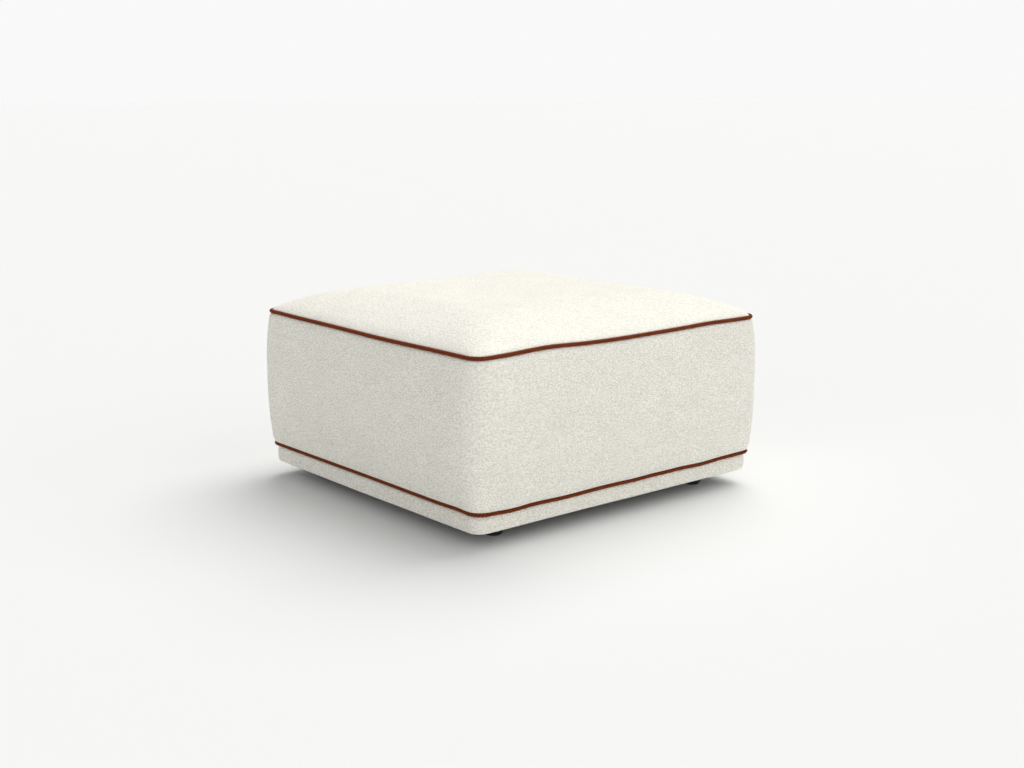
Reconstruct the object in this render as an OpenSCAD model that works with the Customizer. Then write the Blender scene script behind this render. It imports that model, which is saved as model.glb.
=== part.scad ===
// Upholstered ottoman: a crowned, boxed block on a padded plinth with four low feet.
// Sizes are in millimetres. The floor is z = 0 and the origin is the centre of the footprint.
// The front faces -Y and the left side faces -X.

/* [Seams] */
// Width between the centre lines of the top cord
seam_w = 820; // [640:10:1200]
// Depth between the centre lines of the top cord
seam_d = 793; // [640:1:1200]
// Height from the bottom cord to the top cord
seam_rise = 318; // [280:1:400]
// Radius that the top cord follows at each corner
seam_r = 32; // [28:1:50]
// Diameter of the twisted cord in both seams
cord_d = 8; // [6:0.5:10]
// How far the bottom cord lies inside the top cord
bottom_draw_in = 1.6; // [0:0.1:6]

/* [Cushion shape] */
// Height of the crown over the top cord
crown_h = 58; // [40:1:80]
// How flat the middle of the crown is: higher is flatter
crown_power = 6.3; // [4:0.1:8]
// How rounded the crown's shoulder is: lower is fuller
crown_root = 0.9; // [0.7:0.05:1]
// How fast the crown's corners round off towards the middle
crown_corner_growth = 0.6; // [0.3:0.05:0.9]
// How far the boxing band stands out between the cords
belly = 18; // [8:1:26]
// How flat the middle of the belly is: higher is flatter
belly_power = 2.4; // [2:0.1:4]
// How full the belly is beside the cords: lower is fuller
belly_root = 0.55; // [0.5:0.05:0.9]

/* [Cloth and padding] */
// Thickness of the looped cover cloth
cloth_t = 1.6; // [1:0.1:2]
// Thickness of the fibre wadding under the cover
wadding_t = 6; // [4:0.5:8]
// Depth of the topper's upright edge below the top cord
topper_skirt = 10; // [6:1:16]
// Thickness of the deck cloth over the webbing
deck_cloth_t = 1; // [0.6:0.1:2]
// Clearance between soft or curved pieces that lie against each other
gap = 0.3; // [0.2:0.05:0.4]

/* [Plinth] */
// How far the plinth's side lies inside the top cord's line
plinth_inset = 5.3; // [4:0.1:8]
// Thickness of the padding round the plinth
plinth_pad_t = 10; // [8:0.5:12]
// Height of the plinth rails
plinth_rail_h = 36; // [30:1:60]
// Thickness of the plinth rails
plinth_rail_t = 20; // [18:1:24]
// Width of the cover that is turned in over and under the plinth rails
plinth_return = 40; // [32:1:50]
// Distance from a foot's centre to the inner faces of its corner block
block_margin = 48; // [40:1:60]
// Thickness of the dust cover
dust_cover_t = 1; // [0.6:0.1:1.6]
// Distance from the plinth's side to the edge of the dust cover
dust_cover_inset = 22; // [18:1:26]

/* [Feet] */
// Height of a foot from the felt's recess to the dust cover
foot_h = 33; // [25:0.5:60]
// Diameter of a foot at the top
foot_top_d = 50; // [44:1:60]
// Diameter of a foot at the bottom
foot_bottom_d = 38; // [36:1:44]
// Distance from the top cord's line at the left and right to the centre of a foot
foot_inset_x = 111; // [96:1:125]
// Distance from the top cord's line at the front and back to the centre of a foot
foot_inset_y = 84; // [80:1:110]
// Diameter of the boss that seats a foot on its block
foot_boss_d = 24; // [18:1:30]
// Edge rounding at the bottom of a foot
foot_edge_r = 2; // [1:0.5:3]
// Thickness of the felt under a foot
felt_t = 3; // [2:0.5:5]
// Diameter of the felt under a foot
felt_d = 33; // [28:1:34]
// Depth of the recess that holds the felt
felt_recess = 1; // [0.5:0.5:1.5]
// Diameter of a foot's threaded stud
stud_d = 8; // [6:1:10]
// Length of the stud inside the foot
stud_in_foot = 20; // [12:1:22]
// Outside diameter of a tee nut's barrel
tee_barrel_d = 11; // [11:0.5:13]
// Length of a tee nut's barrel
tee_barrel_l = 11; // [8:1:14]
// Diameter of a tee nut's flange
tee_flange_d = 22; // [18:1:26]
// Thickness of a tee nut's flange
tee_flange_t = 1.2; // [1:0.1:1.5]

/* [Body frame] */
// Height of the body frame
frame_h = 212; // [190:1:240]
// Thickness of the hardboard side panels
panel_t = 3; // [2:0.5:4]
// Width of the square corner posts
post_w = 45; // [42:1:60]
// Thickness of the body rails
body_rail_t = 22; // [18:1:25]
// Height of the lower body rails
lower_rail_h = 60; // [56:1:80]
// Height of the upper body rails
upper_rail_h = 60; // [56:1:80]
// Thickness of the centre rail
centre_rail_t = 22; // [18:1:25]

/* [Webbing] */
// Width of a webbing strap
web_w = 70; // [50:5:80]
// Thickness of a webbing strap
web_t = 2; // [1.5:0.1:3]
// Number of straps that run from left to right
web_rows = 5; // [4:1:6]
// Number of straps that run from front to back
web_columns = 5; // [4:1:6]
// Distance that a strap's end stays back from the outside of the frame
web_end = 3; // [2:0.5:5]

/* [Fasteners] */
// Diameter of a wood screw
screw_d = 4; // [3:0.5:5]
// Head diameter of a wood screw
screw_head_d = 8; // [7:0.5:9]
// Length of a wood screw
screw_l = 45; // [35:1:50]
// Distance from an edge of a block or rail to its first screw
screw_edge = 15; // [12:1:18]
// Distance between two screws in a pair
screw_pitch = 35; // [25:1:38]
// Diameter of a dowel
dowel_d = 8; // [6:0.5:10]
// Length of a dowel
dowel_l = 50; // [40:1:50]
// Height of the first dowel over a rail's lower edge
dowel_edge = 20; // [20:1:22]
// Height between the two dowels of a rail's end
dowel_pitch = 24; // [20:1:26]
// Diameter of a joining bolt
bolt_d = 8; // [6:1:8]
// Width of a joining bolt's head across its flats
bolt_head_w = 13; // [12:0.5:14]
// Height of a joining bolt's head
bolt_head_h = 5.3; // [4:0.1:6]
// Outside diameter of a washer
washer_d = 16; // [16:0.5:18]
// Thickness of a washer
washer_t = 1.6; // [1:0.1:2]
// Depth of the pocket for a bolt's head
bolt_pocket = 8; // [7.7:0.1:10]
// Outside diameter of a threaded insert
insert_d = 12; // [11:0.5:13]
// Length of a threaded insert
insert_l = 15; // [12:0.5:15]
// Diameter of a panel pin
pin_d = 1.6; // [1.2:0.1:2]
// Head diameter of a panel pin
pin_head_d = 3.6; // [3:0.1:4]
// Length of a panel pin
pin_l = 16; // [12:1:18]
// Number of pins along each edge of a panel
pin_count = 4; // [3:1:6]
// Width of a staple's crown
staple_w = 12; // [8:1:14]
// Thickness of a staple's wire
staple_wire = 0.9; // [0.7:0.1:1.2]
// Depth that a staple's legs reach into the wood
staple_bite = 8; // [6:1:10]
// Number of staples along each side of the dust cover
staple_count = 6; // [4:1:8]
// Clearance round a fastener in its hole
fit = 0.05; // [0.03:0.01:0.1]

/* [Hidden] */
$fn = 64;

// The steps that draw the two free forms
dome_steps = 9;
corner_steps = 7;
band_steps = 12;

// The cover is stitched behind the cord, this far from its centre
tuck = cord_d / 2 + 0.5;

// Heights from the floor up
foot_z = felt_t - felt_recess;
dust_z = foot_z + foot_h;
return_z = dust_z + dust_cover_t;
plinth_z = return_z + cloth_t;
plinth_top = plinth_z + plinth_rail_h;
under_z = plinth_top + cloth_t;
body_z = under_z + cloth_t;
low_seam_z = body_z;
top_seam_z = low_seam_z + seam_rise;
deck_z = body_z + frame_h;
deck_cloth_z = deck_z + 2 * (web_t + gap);
core_z = deck_cloth_z + deck_cloth_t + gap;
topper_z = top_seam_z - topper_skirt;

// The boxing band runs between the two cords
band_z0 = low_seam_z + tuck;
band_z1 = top_seam_z - tuck;

// Outer sizes of the frames, from the seam line inwards
plinth_edge_r = cloth_t + gap + plinth_pad_t;
plinth_w = seam_w - 2 * plinth_inset;
plinth_d = seam_d - 2 * plinth_inset;
plinth_r = seam_r - plinth_inset;
plinth_frame_w = plinth_w - 2 * (plinth_edge_r + gap);
plinth_frame_d = plinth_d - 2 * (plinth_edge_r + gap);
plinth_frame_r = plinth_r - plinth_edge_r - gap;
panel_w = seam_w - 2 * seam_r;
panel_d = seam_d - 2 * seam_r;
frame_w = panel_w - 2 * panel_t;
frame_d = panel_d - 2 * panel_t;

// The four corners, as signs, and the centres of the feet and joining bolts
corners = [[-1, -1], [1, -1], [-1, 1], [1, 1]];
foot_x = seam_w / 2 - foot_inset_x;
foot_y = seam_d / 2 - foot_inset_y;
bolt_x = frame_w / 2 - post_w / 2;
bolt_y = frame_d / 2 - post_w / 2;

// A joining bolt runs from the face under its washer nearly to the end of its insert
bolt_seat = plinth_z + bolt_pocket - washer_t;
bolt_l = body_z + insert_l - 1.8 - bolt_seat;

// Clear width and depth between the body rails
web_inside_x = frame_w - 2 * body_rail_t;
web_inside_y = frame_d - 2 * body_rail_t;

// Distances inside the cover's outer face: side wadding, side foam, and the dome's inner face
wadding_off = cloth_t + gap;
foam_off = wadding_off + wadding_t + gap;
dome_inset = tuck + cloth_t;

// Colours
cream = [0.94, 0.92, 0.87];
rust = [0.42, 0.20, 0.11];
black = [0.05, 0.05, 0.05];
timber = [0.80, 0.66, 0.46];
ply = [0.72, 0.56, 0.38];
foam = [0.95, 0.89, 0.62];
fibre = [0.97, 0.97, 0.96];
steel = [0.70, 0.71, 0.73];

// Where the belly stands at a share t of the height from the lower to the upper end of the band
function belly_at(t) =
    belly * pow(1 - pow(abs(2 * t - 1), belly_power), belly_root) - bottom_draw_in * (1 - t);

// Where the band's profile has its points, closer together near the seams
function band_share(i) = (1 - cos(180 * i / band_steps)) / 2;

// A point on the band's profile, moved inwards by off at right angles to the profile
function band_point(t, off) =
    let (step = 0.002,
         run = belly_at(t + step) - belly_at(t - step),
         rise = 2 * step * (band_z1 - band_z0),
         length = norm([run, rise]))
    [belly_at(t) - off * rise / length, band_z0 + t * (band_z1 - band_z0) + off * run / length];

// The cloth round a quarter of a cord, from the seam outwards
function tuck_arc(x, z, radius, turn) =
    [for (a = [0, 45, 90]) [x - radius * cos(a), z + turn * radius * sin(a)]];

function reversed(list) = [for (i = [len(list) - 1 : -1 : 0]) list[i]];

// The belly's profile at a distance inside the band's outer face, without its turned ends
function layer(off) = [for (i = [1 : band_steps - 1]) band_point(band_share(i), off)];

// Where that profile stands at a height
function layer_x(off, z) = lookup(z, [for (p = layer(off)) [p[1], p[0]]]);

// The band's profile from the bottom seam to the top seam
function band_profile(off) = concat(
    tuck_arc(-bottom_draw_in, low_seam_z, tuck + off, 1),
    layer(off),
    reversed(tuck_arc(0, top_seam_z, tuck + off, -1)));

// How high the dome stands, from 0 at its rim to 1 in the middle
function dome_share(u) = pow(1 - pow(1 - u, crown_power), crown_root);

// A closed loop round a rectangle with rounded corners
function rounded_loop(w, d, r, z) =
    [for (c = [0 : 3], k = [0 : corner_steps])
        let (a = 90 * (c + k / corner_steps),
             x = (c == 0 || c == 3) ? w / 2 - r : r - w / 2,
             y = c < 2 ? d / 2 - r : r - d / 2)
        [x + r * cos(a), y + r * sin(a), z]];

// A loop that lies inwards from the seam line. It keeps beside the seam at first,
// and its corners grow rounder once it is past the turned cloth.
function seam_loop(inwards, z) =
    let (w = seam_w - 2 * inwards,
         d = seam_d - 2 * inwards,
         beside = seam_r - min(inwards, dome_inset),
         r = min(beside + crown_corner_growth * max(0, inwards - dome_inset), w / 2 - 1, d / 2 - 1))
    rounded_loop(w, d, r, z);

// The loops of a dome from its rim to its middle, where the spare width is closed flat
function dome_loops(inset, z, rise) =
    let (reach = min(seam_w, seam_d) / 2 - inset - 4)
    [for (i = [0 : dome_steps])
        let (u = pow(i / dome_steps, 2))
        seam_loop(inset + u * reach, z + rise * dome_share(u))];

// A solid skinned over a stack of loops and closed flat at both ends
module loft(loops) {
    n = len(loops[0]);
    last = (len(loops) - 1) * n;
    sides = [for (i = [0 : len(loops) - 2], j = [0 : n - 1])
                let (a = i * n + j, b = i * n + (j + 1) % n)
                each [[a, a + n, b + n], [a, b + n, b]]];
    first_cap = [for (k = [1 : n - 2]) [0, k, k + 1]];
    last_cap = [for (k = [1 : n - 2]) [last, last + k + 1, last + k]];
    polyhedron([for (loop = loops) each loop], concat(sides, first_cap, last_cap));
}

// A straight run of a section, drawn with x outwards and y upwards
module run(length) {
    translate([0, length / 2, 0]) rotate([90, 0, 0]) linear_extrude(length) children();
}

// A ring round a rounded rectangle. The section's x is measured from the corner's axis.
module ring_of(w, d, r) {
    for (turn = [0, 180]) rotate([0, 0, turn]) {
        translate([w / 2 - r, 0, 0]) run(d - 2 * r) children();
        rotate([0, 0, 90]) translate([d / 2 - r, 0, 0]) run(w - 2 * r) children();
    }
    for (c = [[1, 1, 0], [-1, 1, 90], [-1, -1, 180], [1, -1, 270]])
        translate([c[0] * (w / 2 - r), c[1] * (d / 2 - r), 0]) rotate([0, 0, c[2]])
            rotate_extrude(angle = 90) children();
}

// A flat sheet with rounded corners
module sheet(w, d, r, z, t) {
    translate([0, 0, z]) linear_extrude(t) {
        square([w - 2 * r, d], center = true);
        square([w, d - 2 * r], center = true);
        for (x = [-1, 1], y = [-1, 1]) translate([x * (w / 2 - r), y * (d / 2 - r)]) circle(r);
    }
}

// A box between two opposite corners, given in either order
module span_box(a, b) {
    low = [for (i = [0 : 2]) min(a[i], b[i])];
    high = [for (i = [0 : 2]) max(a[i], b[i])];
    translate(low) cube(high - low);
}

// An upright round bar or hole
module upright(x, y, z0, z1, d) {
    translate([x, y, z0]) cylinder(h = z1 - z0, d = d);
}

// A wood screw at the origin, its head flush with z = 0 and its point downwards
module screw(clear) {
    head_h = (screw_head_d - screw_d) / 2;
    translate([0, 0, -screw_l - clear]) cylinder(h = screw_l + clear, d = screw_d + 2 * clear);
    translate([0, 0, -head_h - clear])
        cylinder(h = head_h + clear, d1 = screw_d + 2 * clear, d2 = screw_head_d + 4 * clear);
}

// Every wood screw: through the plinth rails into the blocks and the cross rail,
// and through the lower body rails into the centre rail
module screws(clear = 0) {
    plinth_mid = plinth_z + plinth_rail_h / 2;
    for (s = corners, k = [0, 1]) {
        across_x = foot_x - block_margin + screw_edge + k * screw_pitch;
        across_y = foot_y - block_margin + screw_edge + k * screw_pitch;
        translate([s[0] * across_x, s[1] * plinth_frame_d / 2, plinth_mid])
            rotate([-s[1] * 90, 0, 0]) screw(clear);
        translate([s[0] * plinth_frame_w / 2, s[1] * across_y, plinth_mid])
            rotate([0, s[0] * 90, 0]) screw(clear);
    }
    for (s = [-1, 1], k = [0, 1]) {
        plinth_screw_z = plinth_z + plinth_rail_h / 2 + (k - 0.5) * plinth_rail_h / 2;
        body_screw_z = body_z + screw_edge + k * (lower_rail_h - 2 * screw_edge);
        translate([0, s * plinth_frame_d / 2, plinth_screw_z]) rotate([-s * 90, 0, 0]) screw(clear);
        translate([0, s * frame_d / 2, body_screw_z]) rotate([-s * 90, 0, 0]) screw(clear);
    }
}

// Every dowel between the body rails and the corner posts
module dowels(clear = 0) {
    for (s = corners, rail_z = [body_z, deck_z - upper_rail_h], k = [0, 1]) {
        z = rail_z + dowel_edge + k * dowel_pitch;
        translate([s[0] * (frame_w / 2 - post_w), s[1] * (frame_d / 2 - body_rail_t / 2), z])
            rotate([0, 90, 0])
                cylinder(h = dowel_l + 2 * clear, d = dowel_d + 2 * clear, center = true);
        translate([s[0] * (frame_w / 2 - body_rail_t / 2), s[1] * (frame_d / 2 - post_w), z])
            rotate([90, 0, 0])
                cylinder(h = dowel_l + 2 * clear, d = dowel_d + 2 * clear, center = true);
    }
}

// A panel pin at the origin, its head flush with z = 0 and its point downwards
module pin(clear) {
    translate([0, 0, -pin_l - clear]) cylinder(h = pin_l + clear, d = pin_d + 2 * clear);
    translate([0, 0, -pin_d / 2 - clear]) cylinder(h = pin_d / 2 + clear, d = pin_head_d + 2 * clear);
}

// Every pin that holds a side panel on the lower and upper rails
module pins(clear = 0) {
    heights = [body_z + lower_rail_h / 2, deck_z - upper_rail_h / 2];
    for (z = heights, i = [0 : pin_count - 1], s = [-1, 1]) {
        along_x = (frame_w - 2 * post_w) * ((i + 0.5) / pin_count - 0.5);
        along_y = (frame_d - 2 * post_w) * ((i + 0.5) / pin_count - 0.5);
        translate([along_x, s * panel_d / 2, z]) rotate([-s * 90, 0, 0]) pin(clear);
        translate([s * panel_w / 2, along_y, z]) rotate([0, s * 90, 0]) pin(clear);
    }
}

// A staple at the origin: its crown lies on z = 0 and its legs reach down by depth
module staple(depth, clear) {
    span_box([-staple_w / 2 - clear, -staple_wire / 2 - clear, 0],
             [staple_w / 2 + clear, staple_wire / 2 + clear, staple_wire]);
    for (s = [-1, 1]) {
        leg = s * (staple_w - staple_wire) / 2;
        span_box([leg - staple_wire / 2 - clear, -staple_wire / 2 - clear, -depth - clear],
                 [leg + staple_wire / 2 + clear, staple_wire / 2 + clear, staple_wire]);
    }
}

// Middle lines of the straps, evenly spread between the rails
function strap_at(i, count, inside) = inside * ((i + 0.5) / count - 0.5);

// Two staples at each end of each strap
module strap_staples(clear = 0) {
    for (s = [-1, 1], side = [-1, 1]) {
        for (j = [0 : web_rows - 1])
            translate([s * (frame_w - body_rail_t) / 2,
                       strap_at(j, web_rows, web_inside_y) + side * web_w / 4, deck_z + web_t])
                rotate([0, 0, 90]) staple(web_t + staple_bite, clear);
        for (i = [0 : web_columns - 1])
            translate([strap_at(i, web_columns, web_inside_x) + side * web_w / 4,
                       s * (frame_d - body_rail_t) / 2, deck_z + web_t])
                staple(web_t + staple_bite, clear);
    }
}

// The staples round the dust cover, driven up through the turned cover into the plinth rails
module cover_staples(clear = 0) {
    depth = dust_cover_t + cloth_t + staple_bite;
    line_x = plinth_w / 2 - dust_cover_inset - plinth_return / 8;
    line_y = plinth_d / 2 - dust_cover_inset - plinth_return / 8;
    for (s = [-1, 1], i = [0 : staple_count - 1]) {
        share = (i + 0.5) / staple_count - 0.5;
        translate([2.2 * foot_x * share, s * line_y, dust_z])
            mirror([0, 0, 1]) staple(depth, clear);
        translate([s * line_x, 2.2 * foot_y * share, dust_z])
            mirror([0, 0, 1]) rotate([0, 0, 90]) staple(depth, clear);
    }
}

// One strap along X, woven over and under the straps that it crosses
module strap(length, inside, count, first_up) {
    up = web_t + gap;
    under = concat(
        [[-length / 2, 0], [-inside / 2, 0]],
        [for (i = [0 : count - 1], side = [-1, 1])
            [strap_at(i, count, inside) + side * (web_w / 2 + 1), (i + first_up) % 2 == 0 ? up : 0]],
        [[inside / 2, 0], [length / 2, 0]]);
    over = [for (p = reversed(under)) p + [0, web_t]];
    translate([0, web_w / 2, deck_z]) rotate([90, 0, 0]) linear_extrude(web_w)
        polygon(concat(under, over));
}

module foot(s) {
    top_z = dust_z;
    lip = 4;
    color(black) translate([s[0] * foot_x, s[1] * foot_y, 0]) difference() {
        rotate_extrude() polygon(concat(
            [[0, foot_z]],
            [for (a = [0, 30, 60, 90])
                [foot_bottom_d / 2 + foot_edge_r * (sin(a) - 1), foot_z + foot_edge_r * (1 - cos(a))]],
            [[foot_top_d / 2, top_z - lip], [foot_top_d / 2, top_z - 1], [foot_top_d / 2 - 1, top_z],
             [foot_boss_d / 2, top_z], [foot_boss_d / 2, plinth_z], [0, plinth_z]]));
        upright(0, 0, foot_z - 1, foot_z + felt_recess, felt_d + 2 * fit);
        upright(0, 0, top_z - stud_in_foot - fit, plinth_z + 1, stud_d + 2 * fit);
    }
}

module felt_glides() {
    color(black) for (s = corners)
        upright(s[0] * foot_x, s[1] * foot_y, 0, felt_t, felt_d);
}

module foot_studs() {
    color(steel) for (s = corners)
        upright(s[0] * foot_x, s[1] * foot_y, dust_z - stud_in_foot, plinth_top - 1, stud_d);
}

module tee_nut(clear) {
    upright(0, 0, plinth_top - tee_barrel_l - clear, plinth_top, tee_barrel_d + 2 * clear);
    upright(0, 0, plinth_top, plinth_top + tee_flange_t, tee_flange_d);
}

module tee_nuts() {
    color(steel) for (s = corners) translate([s[0] * foot_x, s[1] * foot_y, 0]) difference() {
        tee_nut(0);
        upright(0, 0, plinth_z, under_z, stud_d + 2 * fit);
    }
}

// The plinth frame's outline with its rounded corners
module plinth_outline(z, t) {
    sheet(plinth_frame_w, plinth_frame_d, plinth_frame_r, z, t);
}

module plinth_rail_long(s) {
    edge = plinth_frame_d / 2;
    inner = edge - plinth_rail_t;
    color(timber) difference() {
        intersection() {
            plinth_outline(plinth_z, plinth_rail_h);
            span_box([-seam_w, s * inner, plinth_z], [seam_w, s * edge, plinth_top]);
        }
        screws(fit);
        cover_staples(fit);
    }
}

module plinth_rail_short(s) {
    edge = plinth_frame_w / 2;
    inner = edge - plinth_rail_t;
    half = plinth_frame_d / 2 - plinth_rail_t;
    color(timber) difference() {
        intersection() {
            plinth_outline(plinth_z, plinth_rail_h);
            span_box([s * inner, -half, plinth_z], [s * edge, half, plinth_top]);
        }
        screws(fit);
        cover_staples(fit);
    }
}

module plinth_cross_rail() {
    half = plinth_frame_d / 2 - plinth_rail_t;
    color(timber) difference() {
        span_box([-plinth_rail_t / 2, -half, plinth_z], [plinth_rail_t / 2, half, plinth_top]);
        screws(fit);
    }
}

module plinth_block(s) {
    x0 = foot_x - block_margin;
    x1 = plinth_frame_w / 2 - plinth_rail_t;
    y0 = foot_y - block_margin;
    y1 = plinth_frame_d / 2 - plinth_rail_t;
    color(ply) difference() {
        span_box([s[0] * x0, s[1] * y0, plinth_z], [s[0] * x1, s[1] * y1, plinth_top]);
        translate([s[0] * foot_x, s[1] * foot_y, 0]) {
            tee_nut(fit);
            upright(0, 0, plinth_z - 1, plinth_top, stud_d + 1);
        }
        upright(s[0] * bolt_x, s[1] * bolt_y, plinth_z - 1, plinth_top + 1, bolt_d + 1);
        upright(s[0] * bolt_x, s[1] * bolt_y, plinth_z - 1, plinth_z + bolt_pocket, washer_d + 2);
        screws(fit);
    }
}

module wood_screws() {
    color(steel) screws();
}

// The cloth's rounding over a plinth edge: a quarter turn about the edge's centre
function edge_arc(z, radius, from) =
    [for (k = [0 : 6]) let (a = from + 15 * k)
        [plinth_r - plinth_edge_r + radius * cos(a), z + radius * sin(a)]];

module plinth_padding() {
    radius = plinth_edge_r - cloth_t - gap;
    low = return_z + plinth_edge_r;
    high = under_z - plinth_edge_r;
    color(fibre) ring_of(plinth_w, plinth_d, plinth_r)
        polygon(concat(edge_arc(low, radius, -90), edge_arc(high, radius, 0)));
}

module plinth_cover() {
    low = return_z + plinth_edge_r;
    high = under_z - plinth_edge_r;
    inner = plinth_edge_r - cloth_t;
    bend = 4;
    outer_path = concat(
        [[plinth_r - plinth_edge_r - bend, return_z]], edge_arc(low, plinth_edge_r, -90),
        edge_arc(high, plinth_edge_r, 0), [[plinth_r - plinth_edge_r - bend, under_z]]);
    inner_path = concat(
        [[plinth_r - plinth_edge_r - bend, return_z + cloth_t]], edge_arc(low, inner, -90),
        edge_arc(high, inner, 0), [[plinth_r - plinth_edge_r - bend, under_z - cloth_t]]);
    join = 2 * (plinth_edge_r + bend);
    color(cream) difference() {
        union() {
            ring_of(plinth_w, plinth_d, plinth_r) polygon(concat(outer_path, reversed(inner_path)));
            for (z = [return_z, under_z - cloth_t]) difference() {
                sheet(plinth_w - join, plinth_d - join, plinth_r - join / 2, z, cloth_t);
                translate([0, 0, z - 1]) linear_extrude(cloth_t + 2)
                    square([plinth_w - 2 * plinth_return, plinth_d - 2 * plinth_return], center = true);
            }
        }
        cover_staples(fit);
    }
}

module dust_cover() {
    w = plinth_w - 2 * dust_cover_inset;
    d = plinth_d - 2 * dust_cover_inset;
    color(black) difference() {
        translate([0, 0, dust_z]) linear_extrude(dust_cover_t) square([w, d], center = true);
        for (s = corners) upright(s[0] * foot_x, s[1] * foot_y, dust_z - 1, plinth_z, foot_boss_d + 1);
        cover_staples(fit);
    }
}

module dust_cover_staples() {
    color(steel) cover_staples();
}

module joining_bolts() {
    color(steel) for (s = corners) translate([s[0] * bolt_x, s[1] * bolt_y, 0]) {
        upright(0, 0, bolt_seat, bolt_seat + bolt_l, bolt_d);
        translate([0, 0, bolt_seat - bolt_head_h])
            cylinder(h = bolt_head_h, d = bolt_head_w / cos(30), $fn = 6);
    }
}

module bolt_washers() {
    color(steel) for (s = corners) translate([s[0] * bolt_x, s[1] * bolt_y, 0]) difference() {
        upright(0, 0, bolt_seat, bolt_seat + washer_t, washer_d);
        upright(0, 0, bolt_seat - 1, bolt_seat + washer_t + 1, bolt_d + 0.4);
    }
}

module threaded_inserts() {
    color("goldenrod") for (s = corners) translate([s[0] * bolt_x, s[1] * bolt_y, 0]) difference() {
        upright(0, 0, body_z, body_z + insert_l, insert_d);
        upright(0, 0, body_z - 1, body_z + insert_l + 1, bolt_d + 2 * fit);
    }
}

module corner_post(s) {
    x = frame_w / 2;
    y = frame_d / 2;
    color(timber) difference() {
        span_box([s[0] * x, s[1] * y, body_z], [s[0] * (x - post_w), s[1] * (y - post_w), deck_z]);
        dowels(fit);
        upright(s[0] * bolt_x, s[1] * bolt_y, body_z - 1, body_z + insert_l + fit, insert_d + 2 * fit);
    }
}

// A body rail between two posts, at the front or back
module body_rail_long(s, z0, z1) {
    half = frame_w / 2 - post_w;
    outer = frame_d / 2;
    inner = outer - body_rail_t;
    color(timber) difference() {
        span_box([-half, s * inner, z0], [half, s * outer, z1]);
        dowels(fit);
        screws(fit);
        pins(fit);
        strap_staples(fit);
    }
}

// A body rail between two posts, at the left or right
module body_rail_short(s, z0, z1) {
    half = frame_d / 2 - post_w;
    outer = frame_w / 2;
    inner = outer - body_rail_t;
    color(timber) difference() {
        span_box([s * inner, -half, z0], [s * outer, half, z1]);
        dowels(fit);
        pins(fit);
        strap_staples(fit);
    }
}

module centre_rail() {
    half = frame_d / 2 - body_rail_t;
    color(timber) difference() {
        span_box([-centre_rail_t / 2, -half, body_z], [centre_rail_t / 2, half, body_z + lower_rail_h]);
        screws(fit);
    }
}

module rail_dowels() {
    color(ply) dowels();
}

module side_panel_long(s) {
    outer = panel_d / 2;
    inner = frame_d / 2;
    color(ply) difference() {
        span_box([-panel_w / 2, s * inner, body_z], [panel_w / 2, s * outer, deck_z]);
        pins(fit);
    }
}

module side_panel_short(s) {
    outer = panel_w / 2;
    inner = frame_w / 2;
    color(ply) difference() {
        span_box([s * inner, -frame_d / 2, body_z], [s * outer, frame_d / 2, deck_z]);
        pins(fit);
    }
}

module panel_pins() {
    color(steel) pins();
}

module webbing_lengthways() {
    color("gray") difference() {
        for (j = [0 : web_rows - 1]) translate([0, strap_at(j, web_rows, web_inside_y), 0])
            strap(frame_w - 2 * web_end, web_inside_x, web_columns, j % 2);
        strap_staples(fit);
    }
}

module webbing_crossways() {
    color("dimgray") difference() {
        for (i = [0 : web_columns - 1]) translate([strap_at(i, web_columns, web_inside_x), 0, 0])
            rotate([0, 0, 90]) strap(frame_d - 2 * web_end, web_inside_y, web_rows, (i + 1) % 2);
        strap_staples(fit);
    }
}

module webbing_staples() {
    color(steel) strap_staples();
}

module deck_cloth() {
    color(fibre) translate([0, 0, deck_cloth_z]) linear_extrude(deck_cloth_t)
        square([frame_w, frame_d], center = true);
}

// The section of a side foam, from the side panel's face to the wadding
module side_foam_section() {
    polygon(concat(
        [[0, body_z], [seam_r - bottom_draw_in - dome_inset - gap, body_z]],
        [for (p = layer(foam_off)) if (p[1] < core_z - 1) p + [seam_r, 0]],
        [[seam_r + layer_x(foam_off, core_z), core_z], [0, core_z]]));
}

// Front or back side foam, with both rounded corners
module side_foam_long(s) {
    color(foam) rotate([0, 0, s > 0 ? 0 : 180]) {
        rotate([0, 0, 90]) translate([panel_d / 2, 0, 0]) run(panel_w) side_foam_section();
        for (c = [[1, 0], [-1, 90]]) translate([c[0] * panel_w / 2, panel_d / 2, 0])
            rotate([0, 0, c[1]]) rotate_extrude(angle = 90) side_foam_section();
    }
}

module side_foam_short(s) {
    color(foam) rotate([0, 0, s > 0 ? 0 : 180]) translate([panel_w / 2, 0, 0])
        run(panel_d) side_foam_section();
}

module seat_foam() {
    color(foam) {
        ring_of(seam_w, seam_d, seam_r) polygon(concat(
            [[0, core_z], [seam_r + layer_x(foam_off, core_z), core_z]],
            [for (p = layer(foam_off)) if (p[1] > core_z + 1 && p[1] < topper_z - 1) p + [seam_r, 0]],
            [[seam_r + layer_x(foam_off, topper_z), topper_z], [0, topper_z]]));
        span_box([-panel_w / 2, -panel_d / 2, core_z], [panel_w / 2, panel_d / 2, topper_z]);
    }
}

module seat_topper() {
    inset = dome_inset + 2 * gap + wadding_t;
    color(foam) loft(concat([seam_loop(inset, topper_z)],
        dome_loops(inset, top_seam_z, crown_h - cloth_t - wadding_t - 2 * gap)));
}

module side_wadding() {
    outer = [for (p = layer(wadding_off)) p + [seam_r, 0]];
    inner = [for (p = layer(wadding_off + wadding_t)) p + [seam_r, 0]];
    color(fibre) ring_of(seam_w, seam_d, seam_r) polygon(concat(outer, reversed(inner)));
}

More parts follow.
